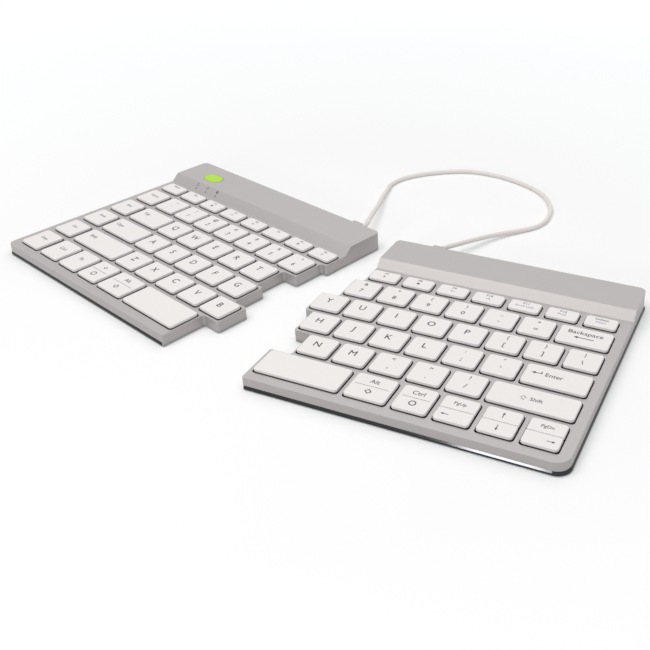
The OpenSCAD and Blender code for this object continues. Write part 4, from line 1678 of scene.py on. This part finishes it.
@dataclass(frozen=True)
class Feet:
    """Round rubber feet with a soft lower edge."""

    radius: float = 4 * MM
    # radii of the shallow hollow's floor and rim, as shares of the foot's radius
    hollow: Pair = (0.4, 0.5)
    hollow_depth: float = 0.12 * MM
    soft_edge: float = 0.25 * MM  # radius of the lower edge
    soft_middle: float = 0.07 * MM  # how far the middle of that edge stands in from both faces
    side_inset: float = 11.2 * MM  # distance of their middles from the sides of a half
    end_inset: float = 6 * MM  # distance of their middles from its front and rear edges

    def build(self, half: HalfLayout, looks: Finishes) -> None:
        """Builds the feet of a half.

        Args:
            half: The half.
            looks: The materials.
        """
        sizes = half.sizes
        solid = Solid()
        profile = [
            (self.hollow[0] * self.radius, self.hollow_depth),
            (self.hollow[1] * self.radius, 0),
            (self.radius - self.soft_edge, 0),
            (self.radius - self.soft_middle, self.soft_middle),
            (self.radius, self.soft_edge),
            (self.radius, sizes.foot_height),
        ]
        ends = ((0, sizes.front_edge + self.end_inset), (half.last_row, sizes.back_edge - self.end_inset))
        for row, y in ends:
            for x in (half.from_outer(self.side_inset), half.from_step(row, self.side_inset)):
                solid.lathe(profile, Matrix.Translation((x, y, 0)), 40)
        name = f"{half.side.value}_feet"
        settle(solid.outward(), half, f"{name}_pads", [looks.foot], "foot_rubber", name)


# Fittings in the rear bars


@dataclass(frozen=True)
class RearFittings:
    """What sits in the rear bars: strain reliefs, charge socket, switch, lens and status marks."""

    left_boot_inset: float = 18.8 * MM  # distance of the left strain relief from the bar's inner end
    right_boot_inset: float = 24.9 * MM  # the same on the right half
    flange_radius: float = 2.5 * MM
    flange_length: float = 1 * MM
    # width of the collar round it, how far it stands out from the wall, and its height
    collar_size: Extent = (7 * MM, 1.9 * MM, 6.8 * MM)
    collar_corner: float = 1 * MM
    collar_seat: float = 1.2 * MM
    ribs: int = 3  # ribs of the strain relief behind the collar
    rib_groove: float = 0.18 * MM  # depth of the grooves between them
    # thickness of the last rib, of the floor of a groove, and of the boot's end, over the cord
    boot_wall: Extent = (0.25 * MM, 0.05 * MM, 0.12 * MM)
    board_inset: float = 15.2 * MM  # distance of the left board from the outer edge
    board_boot_gap: float = 8.5 * MM
    battery_length: float = 34 * MM
    battery_boot_gap: float = 10.5 * MM
    battery_board_gap: float = 6 * MM
    right_board_length: float = 60 * MM
    board_top: float = 5 * MM
    socket_offset: float = 54 * MM  # place of the socket along the left board
    switch_offset: float = 28 * MM  # place of the switch along the left board
    socket_size: Extent = (9 * MM, 7.4 * MM, 3.2 * MM)  # width, length and height of the socket
    socket_corner: float = 1.4 * MM
    socket_sheet: float = 0.4 * MM  # thickness of its shell
    socket_floor: float = 1.4 * MM  # thickness of its inner end
    # half the width and half the height of the tongue in it, and how far it stands back
    tongue_size: Extent = (3.2 * MM, 0.35 * MM, 0.8 * MM)
    hole_gap: float = 0.3 * MM  # free space round the socket and the switch
    # radii of the corners of the socket's and the switch's holes
    hole_corners: Pair = (1.2 * MM, 0.5 * MM)
    # width of the switch's knob, how far it stands out, and its height
    knob_size: Extent = (3.4 * MM, 1.1 * MM, 2 * MM)
    knob_travel: float = 2 * MM
    knob_ribs: int = 4
    rib_share: float = 0.7  # share of a rib's pitch that the rib takes
    rib_height: float = 0.3 * MM
    knob_edge: float = 0.1 * MM
    shoe_size: Extent = (9 * MM, 1 * MM, 3 * MM)
    shoe_gap: float = 0.1 * MM
    lens_inset: float = 26.4 * MM
    lens_slope_gap: float = 9.4 * MM
    lens_size: Pair = (14 * MM, 9 * MM)
    lens_gap: float = 0.2 * MM
    lens_rise: float = 0.2 * MM
    # inset and depth below the top of each ring of the lens's crown
    lens_crown: tuple[Point, ...] = ((0, 0.25 * MM), (0.08 * MM, 0.1 * MM), (0.3 * MM, 0), (1.2 * MM, 0))
    marks_inset: float = 23.9 * MM
    marks_pitch: float = 9.8 * MM
    marks_shift: float = 1.4 * MM  # how far signs and windows stand from the middle of the slope
    sign_height: float = 2.4 * MM
    window_size: float = 1.3 * MM
    print_rise: float = 0.015 * MM  # thickness of the ink

    def boot_x(self, half: HalfLayout) -> float:
        """Where the cord leaves a half."""
        inset = self.left_boot_inset if half.side is Side.LEFT else self.right_boot_inset
        return half.from_step(half.last_row, inset)

    def board(self, half: HalfLayout) -> Pair:
        """Left edge and length of a half's circuit board.

        Args:
            half: The half.

        Returns:
            The edge's x, and the length.
        """
        if half.side is Side.RIGHT:
            return self.boot_x(half) + self.board_boot_gap, self.right_board_length
        left = half.from_outer(self.board_inset)
        battery = self.boot_x(half) - self.battery_boot_gap - self.battery_length
        return left, battery - self.battery_board_gap - left

    def collar(self, half: HalfLayout) -> Solid:
        """The collar on the rear wall where the cord leaves, flush with the top of the bar."""
        sizes = half.sizes
        width, stand_out, height = self.collar_size
        left, front = self.boot_x(half) - width / 2, sizes.back_edge - self.collar_seat
        place = KeyPlace(left, front, width, self.collar_seat + stand_out)
        outline = rounded(place.corners(0), [self.collar_corner] * 4)
        return Solid().prism(outline, sizes.bar_height - height, sizes.bar_height)

    def _knob_height(self) -> float:
        """Height of the middle of the switch."""
        return self.board_top + self.shoe_gap + self.shoe_size[2] / 2

    def _lens_place(self, half: HalfLayout) -> KeyPlace:
        """Where the lens lies on the left bar."""
        x, y = half.from_outer(self.lens_inset), half.sizes.slope_top + self.lens_slope_gap
        return KeyPlace(x - self.lens_size[0] / 2, y - self.lens_size[1] / 2, *self.lens_size)

    def cut(self, half: HalfLayout, cuts: Solid) -> None:
        """Adds the holes for the socket, the switch and the lens to a case's cuts.

        Args:
            half: The left half.
            cuts: Where the holes go.
        """
        sizes = half.sizes
        board_x = half.from_outer(self.board_inset)
        inside, behind = sizes.back_edge - sizes.wall - PAST, sizes.back_edge + PAST
        x, gap = board_x + self.socket_offset, self.hole_gap
        width, _, height = self.socket_size
        mouth = KeyPlace(x - width / 2, self.board_top, width, height).corners(gap)
        self._slot(cuts, rounded(mouth, [self.hole_corners[0]] * 4, 5), inside, behind)
        x = board_x + self.switch_offset
        width, _, height = self.knob_size
        slit = KeyPlace(x - width / 2, self._knob_height() - height / 2, width + self.knob_travel, height)
        self._slot(cuts, rounded(slit.corners(gap), [self.hole_corners[1]] * 4, 4), inside, behind)
        hole = rounded(self._lens_place(half).corners(self.lens_gap), [self.lens_size[1] / 2] * 4)
        cuts.prism(hole, sizes.bar_height - sizes.wall - PAST, sizes.bar_height + PAST)

    @staticmethod
    def _slot(cuts: Solid, outline: Sequence[Point], inside: float, behind: float) -> None:
        """Adds a prism along y with the given outline in x and z."""
        cuts.loft([[Vector((x, y, z)) for x, z in outline] for y in (inside, behind)])

    def build_boot(self, half: HalfLayout, cord_radius: float, looks: Finishes) -> bpy.types.Object:
        """Builds a strain relief: a flange in the wall and a ribbed boot that gets thinner behind it.

        Args:
            half: The half that it sits in.
            cord_radius: Radius of the cord at its end.
            looks: The materials.

        Returns:
            The strain relief.
        """
        sizes = half.sizes
        inside, flange, groove = self.flange_length, self.flange_radius, self.rib_groove
        last, least, end = [cord_radius + wall for wall in self.boot_wall]
        profile = [(cord_radius, 0), (flange, 0), (flange, inside), (sizes.boot_radius, inside)]
        start = inside + sizes.wall + self.collar_size[1]
        length = sizes.boot_length - self.collar_size[1]
        for rib in range(self.ribs):
            for share, sink in ((0.0, 0.0), (0.55, 0.0), (0.65, groove), (0.9, groove)):
                along = (rib + share) / self.ribs
                radius = sizes.boot_radius + (last - sizes.boot_radius) * along
                profile.append((max(radius - sink, least), start + along * length))
        profile.append((end, start + length))
        inner = sizes.back_edge - sizes.wall - self.flange_length
        place = Matrix.Translation((self.boot_x(half), inner, sizes.boot_height))
        solid = Solid().lathe(profile, place @ Matrix.Rotation(-math.pi / 2, 4, "X"), 36)
        name = f"{half.side.value}_cord_gland"
        return settle(solid.outward(), half, f"{name}_boot", [looks.cord], "cord_jacket", name)

    def build_lens(self, half: HalfLayout, looks: Finishes) -> None:
        """Builds the green lens on the left bar, with a softly crowned top.

        Args:
            half: The left half.
            looks: The materials.
        """
        sizes = half.sizes
        place = self._lens_place(half)
        corner = self.lens_size[1] / 2 - self.lens_gap
        bottom, top = sizes.bar_height - sizes.wall, sizes.bar_height + self.lens_rise
        levels = [(0, bottom), *[(inset, top - depth) for inset, depth in self.lens_crown]]
        rings = []
        for inset, height in levels:
            outline = rounded(place.corners(-inset), [corner - inset] * 4)
            rings.append([Vector((x, y, height)) for x, y in outline])
        lens = Solid().loft(rings).outward()
        settle(lens, half, "indicator_lens_crown", [looks.lens], "lens_green", "indicator_lens")

    def build_marks(self, half: HalfLayout, setter: Typesetter, looks: Finishes) -> None:
        """Prints three status signs with a small window below each on the slope of the left bar.

        Args:
            half: The left half.
            setter: Sets the prints.
            looks: The materials.
        """
        sizes = half.sizes
        tilt = math.atan2(sizes.bar_height - sizes.deck_height, sizes.slope_depth)
        middle_y = (sizes.slope_foot + sizes.slope_top) / 2
        middle_z = (sizes.deck_height + sizes.bar_height) / 2
        solid = Solid()
        first, shift = half.from_outer(self.marks_inset), self.marks_shift
        for index, sign in enumerate((Sign.RING, Sign.DIAMOND, Sign.STOP)):
            centre = Matrix.Translation((first + index * self.marks_pitch, middle_y, middle_z))
            place = centre @ Matrix.Rotation(tilt, 4, "X") @ Matrix.Translation((0, 0, self.print_rise))
            setter.set(solid, Print(sign, self.sign_height, y=shift), place, 0)
            setter.set(solid, Print(Sign.DOT, self.window_size, y=-shift), place, 0)
        settle(solid, half, "status_marks", [looks.skirt], "switch_black")

    def build_socket(self, half: HalfLayout, looks: Finishes) -> None:
        """Builds the charge socket: a rounded steel shell with a tongue inside.

        Args:
            half: The left half.
            looks: The materials.
        """
        sizes = half.sizes
        x = half.from_outer(self.board_inset) + self.socket_offset
        width, length, height = self.socket_size
        shell = KeyPlace(x - width / 2, self.board_top, width, height)
        front, back = sizes.back_edge - length, sizes.back_edge
        sheet, floor = self.socket_sheet, front + self.socket_floor
        rings = []
        for grow, y in ((0, front), (0, back), (-sheet, back), (-sheet, floor)):
            outline = rounded(shell.corners(grow), [self.socket_corner + grow] * 4, 5)
            rings.append([Vector((px, y, pz)) for px, pz in outline])
        middle = self.board_top + height / 2
        reach, rise, inset = self.tongue_size
        solid = Solid().loft(rings)
        low = (x - reach, floor - PAST / 2, middle - rise)
        solid.box(low, (x + reach, back - inset, middle + rise), 1).outward()
        finishes = [looks.steel, looks.switch]
        settle(solid, half, "charge_socket_shell", finishes, "socket_steel", "charge_socket")

    def build_switch(self, half: HalfLayout, looks: Finishes) -> None:
        """Builds the sliding power switch: an inner shoe and a ribbed knob.

        Args:
            half: The left half.
            looks: The materials.
        """
        sizes = half.sizes
        x, z = half.from_outer(self.board_inset) + self.switch_offset, self._knob_height()
        width, stand_out, height = self.knob_size
        wall_inside = sizes.back_edge - sizes.wall - self.hole_gap
        shoe_width, shoe_depth, shoe_height = self.shoe_size
        low = (x - shoe_width / 2, wall_inside - shoe_depth, z - shoe_height / 2)
        solid = Solid().box(low, (x + shoe_width / 2, wall_inside, z + shoe_height / 2))
        end = sizes.back_edge + stand_out
        foot, first, pitch = end - self.rib_height, x - width / 2, width / self.knob_ribs
        outline = [(first, wall_inside - PAST), (x + width / 2, wall_inside - PAST)]
        for rib in reversed(range(self.knob_ribs)):
            left, right = first + rib * pitch, first + (rib + self.rib_share) * pitch
            outline += [(right, foot), (right, end), (left, end), (left, foot)]
        solid.combined(Solid().prism(outline, z - height / 2, z + height / 2), Operation.JOIN)
        solid.bevelled(self.knob_edge, 2, lambda edge: True)
        name = "power_switch"
        settle(solid, half, f"{name}_knob", [looks.switch], "switch_black", name, body=name)


# The cord


@dataclass(frozen=True)
class LinkCord:
    """The cord that joins the halves, seen from end to end in the photograph."""

    diameter: float = 2.8 * MM
    length: float = 317.6 * MM  # its length between the two strain reliefs
    exit_straight: float = 2 * MM  # straight stretch at each end
    # its route on the table, in millimetres
    loop: tuple[Point, ...] = (
        (-11.6, 134), (-8.5, 145), (0, 156), (9, 163.5), (18.5, 169.5), (28.5, 173.5), (40, 174.5),
        (55, 172.5), (72, 166), (86, 156), (95, 142.5), (98.5, 131), (99, 119), (95, 108.5),
    )
    # its route from the left half down to the table
    fall: tuple[Spot, ...] = ((1.8, 77.2, 6.5), (-2.2, 94, 4.8), (-6.9, 110.5, 3), (-10.2, 125, 1.8))
    # its route from the table up to the right half
    rise: tuple[Spot, ...] = ((84.8, 96.7, 1.9), (76.6, 85, 3.4), (71.3, 74.7, 5), (66, 64.3, 6.3))
    samples: int = 8  # curve points for each route point
    sides: int = 16  # points round the tube
    # way and length of the stretch that bends as the left half turns
    bend: tuple[Spot, float] = ((1, 1, 0), 29 * MM)

    def route(self, start: Vector, start_way: Vector, end: Vector, end_way: Vector) -> list[Vector]:
        """Route points from one strain relief to the other.

        Args:
            start: Where the cord leaves the left half.
            start_way: Direction in which it leaves.
            end: Where it enters the right half.
            end_way: Direction from there back along the cord.

        Returns:
            The points in metres.
        """
        table = [Vector((x, y, self.diameter / 2 / MM)) * MM for x, y in self.loop]
        down = [Vector(point) * MM for point in self.fall]
        up = [Vector(point) * MM for point in self.rise]
        leaving = [start, start + start_way * self.exit_straight]
        entering = [end + end_way * self.exit_straight, end]
        return [*leaving, *down, *table, *up, *entering]

    def curve(self, route: Sequence[Vector]) -> list[Vector]:
        """A smooth curve through the route points."""
        points = []
        for k in range(len(route) - 1):
            before, here = route[max(k - 1, 0)], route[k]
            there, after = route[k + 1], route[min(k + 2, len(route) - 1)]
            for sample in range(self.samples):
                t = sample / self.samples
                bend = 2 * before - 5 * here + 4 * there - after
                turn = 3 * here - before - 3 * there + after
                points.append((2 * here + (there - before) * t + bend * t * t + turn * t ** 3) / 2)
        for point in points:
            point.z = max(point.z, self.diameter / 2)
        return [*points, route[-1]]

    def build(self, halves: Sequence[HalfLayout], fittings: RearFittings, looks: Finishes) -> None:
        """Builds the cord with its two strain reliefs.

        Args:
            halves: The left half and the right half.
            fittings: Where the strain reliefs sit.
            looks: The materials.
        """
        ends, ways = [], []
        for half in halves:
            sizes = half.sizes
            tip = (fittings.boot_x(half), sizes.back_edge + sizes.boot_length, sizes.boot_height)
            ends.append(half.matrix @ Vector(tip))
            ways.append(half.matrix.to_3x3() @ Vector((0, 1, 0)))
        path = self.curve(self.route(ends[0], ways[0], ends[1], ways[1]))
        rings = []
        for k, point in enumerate(path):
            along = (path[min(k + 1, len(path) - 1)] - path[max(k - 1, 0)]).normalized()
            across = along.cross(Vector((0, 0, 1))).normalized()
            up = across.cross(along)
            ring = circle((0, 0), self.diameter / 2, self.sides)
            rings.append([point + across * x + up * y for x, y in ring])
        piece = Solid().loft(rings).outward().piece("link_cord_jacket", [looks.cord])
        boots = [fittings.build_boot(half, self.diameter / 2, looks) for half in halves]
        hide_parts("link_cord")
        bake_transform(piece)
        LOG.info("%s lies between %s and %s", piece.name, halves[0].body, halves[1].body)


@dataclass(frozen=True)
class InnerPieces:
    """The plates, boards and battery inside the cases, which keep the part's own shapes."""

    def dress(self, looks: Finishes) -> None:
        """Gives each inner node its finish."""
        finishes = {
            # the key plate takes the dark steel that paints shade in the gaps round the keys
            "key_plate": looks.plate,
            "circuit_board": looks.board,
        }
        dressed = {
            f"{side.value}_{name}": finish for side in Side for name, finish in finishes.items()
        }
        dressed["battery"] = looks.battery
        for node, finish in dressed.items():
            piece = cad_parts[node]
            piece.data.materials.clear()
            piece.data.materials.append(finish)
            LOG.info("%s keeps the part's shape", node)


# Studio


@dataclass(frozen=True)
class PhotoCamera:
    """The photograph's viewpoint: solved from the key corners, then fitted again with a smaller shift."""

    image: Point = (650, 650)  # width and height of the photograph in pixels
    focal_pixels: float = 913.35
    middle_pixels: Point = (410, 329)  # where the optical axis meets the image
    place: Spot = (235.09 * MM, -374.08 * MM, 250.02 * MM)
    ahead: Spot = (-0.35296, 0.76299, -0.54154)
    right: Spot = (0.9109, 0.41244, -0.0126)  # direction to the image's right
    sensor: float = 36.0  # width of the sensor, in millimetres
    clip: Pair = (0.01, 50)  # nearest and farthest distance that is drawn

    def build(self) -> None:
        """Makes the camera."""
        width, height = self.image
        data = bpy.data.cameras.new("photo_camera")
        data.sensor_width = self.sensor
        data.lens = self.focal_pixels / width * self.sensor
        data.shift_x = (width / 2 - self.middle_pixels[0]) / width
        data.shift_y = (self.middle_pixels[1] - height / 2) / width
        data.clip_start, data.clip_end = self.clip
        camera = bpy.data.objects.new("photo_camera", data)
        back = -Vector(self.ahead).normalized()
        right = (Vector(self.right) - back * back.dot(Vector(self.right))).normalized()
        turn = Matrix((right, back.cross(right), back)).transposed()
        camera.matrix_world = Matrix.Translation(self.place) @ turn.to_4x4()
        bpy.context.scene.collection.objects.link(camera)
        bpy.context.scene.camera = camera


@dataclass(frozen=True)
class SoftBox:
    """A studio lamp."""

    name: str
    place: Spot
    size: Point
    power: float  # its power in watts
    colour: Colour = (1, 1, 1)
    target: Spot = (0.03, 0.0, 0.0)

    def build(self) -> None:
        """Makes the lamp."""
        data = bpy.data.lights.new(self.name, "AREA")
        data.shape = "RECTANGLE"
        data.size, data.size_y = self.size
        data.energy = self.power
        data.color = self.colour
        lamp = bpy.data.objects.new(self.name, data)
        lamp.location = self.place
        away = Vector(self.target) - Vector(self.place)
        lamp.rotation_euler = away.to_track_quat("-Z", "Y").to_euler()
        bpy.context.scene.collection.objects.link(lamp)


@dataclass(frozen=True)
class Studio:
    """Pale floor, white surroundings and soft lamps."""

    floor_size: float = 12.0  # side of the floor
    floor_colour: Colour = (0.86, 0.86, 0.86)
    # light that the camera sees added to the floor, so that it comes out white: distances from the
    # middle, and the colour added there, which grows where the lamps' light falls off
    glow_steps: tuple[tuple[float, Colour], ...] = (
        (0.2, (0.15, 0.165, 0.175)),
        (0.45, (0.24, 0.26, 0.275)),
        (0.75, (0.37, 0.4, 0.42)),
        (1.5, (0.6, 0.61, 0.62)),
        (3.0, (0.7, 0.7, 0.7)),
    )
    surroundings: float = 0.36  # strength of the light from all round
    # the soft boxes
    lamps: tuple[SoftBox, ...] = (
        SoftBox("overhead_box", (0.45, 0.0, 1.15), (0.9, 0.9), 3.3, (1, 0.968, 0.94)),
        SoftBox("slope_box", (-0.28, -0.36, 1.1), (0.92, 0.74), 5.6, (1, 0.968, 0.94)),
        SoftBox("rear_box", (-0.05, 0.85, 1.0), (1.4, 0.6), 2.2, target=(0, 0.25, 0)),
        SoftBox("front_box", (-0.095, -1.1, 0.3), (0.14, 0.14), 1.5, target=(0.14, -0.1, 0)),
    )

    def build(self) -> None:
        """Builds the floor, the world and the lamps."""
        self._floor()
        self._world()
        for lamp in self.lamps:
            lamp.build()
        bpy.context.scene.view_settings.view_transform = "Standard"

    def _seen(self, tree: ShaderTree) -> Signal:
        """One for rays that come from the camera, from gloss or through glass."""
        seen = tree.node("ShaderNodeLightPath", output="Is Camera Ray")
        glossy = tree.node("ShaderNodeLightPath", output="Is Glossy Ray")
        through = tree.node("ShaderNodeLightPath", output="Is Transmission Ray")
        return seen + glossy + through

    def _floor(self) -> None:
        """Builds the floor, which is white to the camera and keeps the shadow."""
        half = self.floor_size / 2
        mesh = bpy.data.meshes.new("floor")
        corners = [(-half, -half, 0), (half, -half, 0), (half, half, 0), (-half, half, 0)]
        mesh.from_pydata(corners, [], [(0, 1, 2, 3)])
        made, tree = blank_material("pale_floor")
        cloud = tree.noise(0.4, 2)
        dark, light = shaded(self.floor_colour, 0.99), shaded(self.floor_colour, 1.01)
        matt = tree.node("ShaderNodeBsdfDiffuse", {}, {"Color": tree.mixed(cloud, dark, light)})
        spot = tree.node("ShaderNodeNewGeometry", output="Position")
        distance = tree.node("ShaderNodeVectorMath", {"operation": "LENGTH"}, {0: spot}, output="Value")
        reach = self.glow_steps[-1][0]
        stops = [(step / reach, colour) for step, colour in self.glow_steps]
        colour = tree.node("ShaderNodeValToRGB", {"stops": stops}, {"Fac": distance * (1 / reach)})
        glow = tree.node("ShaderNodeEmission", {}, {"Color": colour, "Strength": self._seen(tree)})
        tree.surface(tree.node("ShaderNodeAddShader", {}, {0: matt, 1: glow}))
        mesh.materials.append(made)
        floor = bpy.data.objects.new("floor", mesh)
        bpy.context.scene.collection.objects.link(floor)

    def _world(self) -> None:
        """Makes white surroundings that light the keyboard softly."""
        world = bpy.data.worlds.new("surroundings")
        bpy.context.scene.world = world
        world.use_nodes = True
        tree = ShaderTree(world.node_tree)
        strength = self.surroundings + (1 - self.surroundings) * self._seen(tree)
        white = tree.node("ShaderNodeBackground", {}, {"Color": (1, 1, 1, 1), "Strength": strength})
        tree.surface(white, "ShaderNodeOutputWorld")


def main() -> None:
    """Builds the keyboard piece by piece."""
    logging.basicConfig(level=logging.INFO, format="%(message)s")
    sizes = Sizes()
    halves = (HalfLayout.left(sizes), HalfLayout.right(sizes))
    looks = Finishes()
    setter = Typesetter()
    fittings = RearFittings()
    screws = Screws()
    caps = Keycaps()
    mechanisms = KeyMechanisms()
    PhotoCamera().build()
    LinkCord().build(halves, fittings, looks)
    Studio().build()
    for half in halves:
        TopCase().build(half, screws, fittings, looks)
        BasePlate().build(half, screws, fittings.board(half), looks)
        Feet().build(half, looks)
        screws.build(half, looks)
        mechanisms.build_sheet(half, looks)
        for node, keys in KeyField(half).nodes().items():
            caps.build(node, keys, half, setter, looks)
            mechanisms.build(node, keys, half, caps.wall, looks)
    left = halves[0]
    fittings.build_lens(left, looks)
    fittings.build_marks(left, setter, looks)
    fittings.build_socket(left, looks)
    fittings.build_switch(left, looks)
    InnerPieces().dress(looks)


if __name__ == "__main__":
    main()
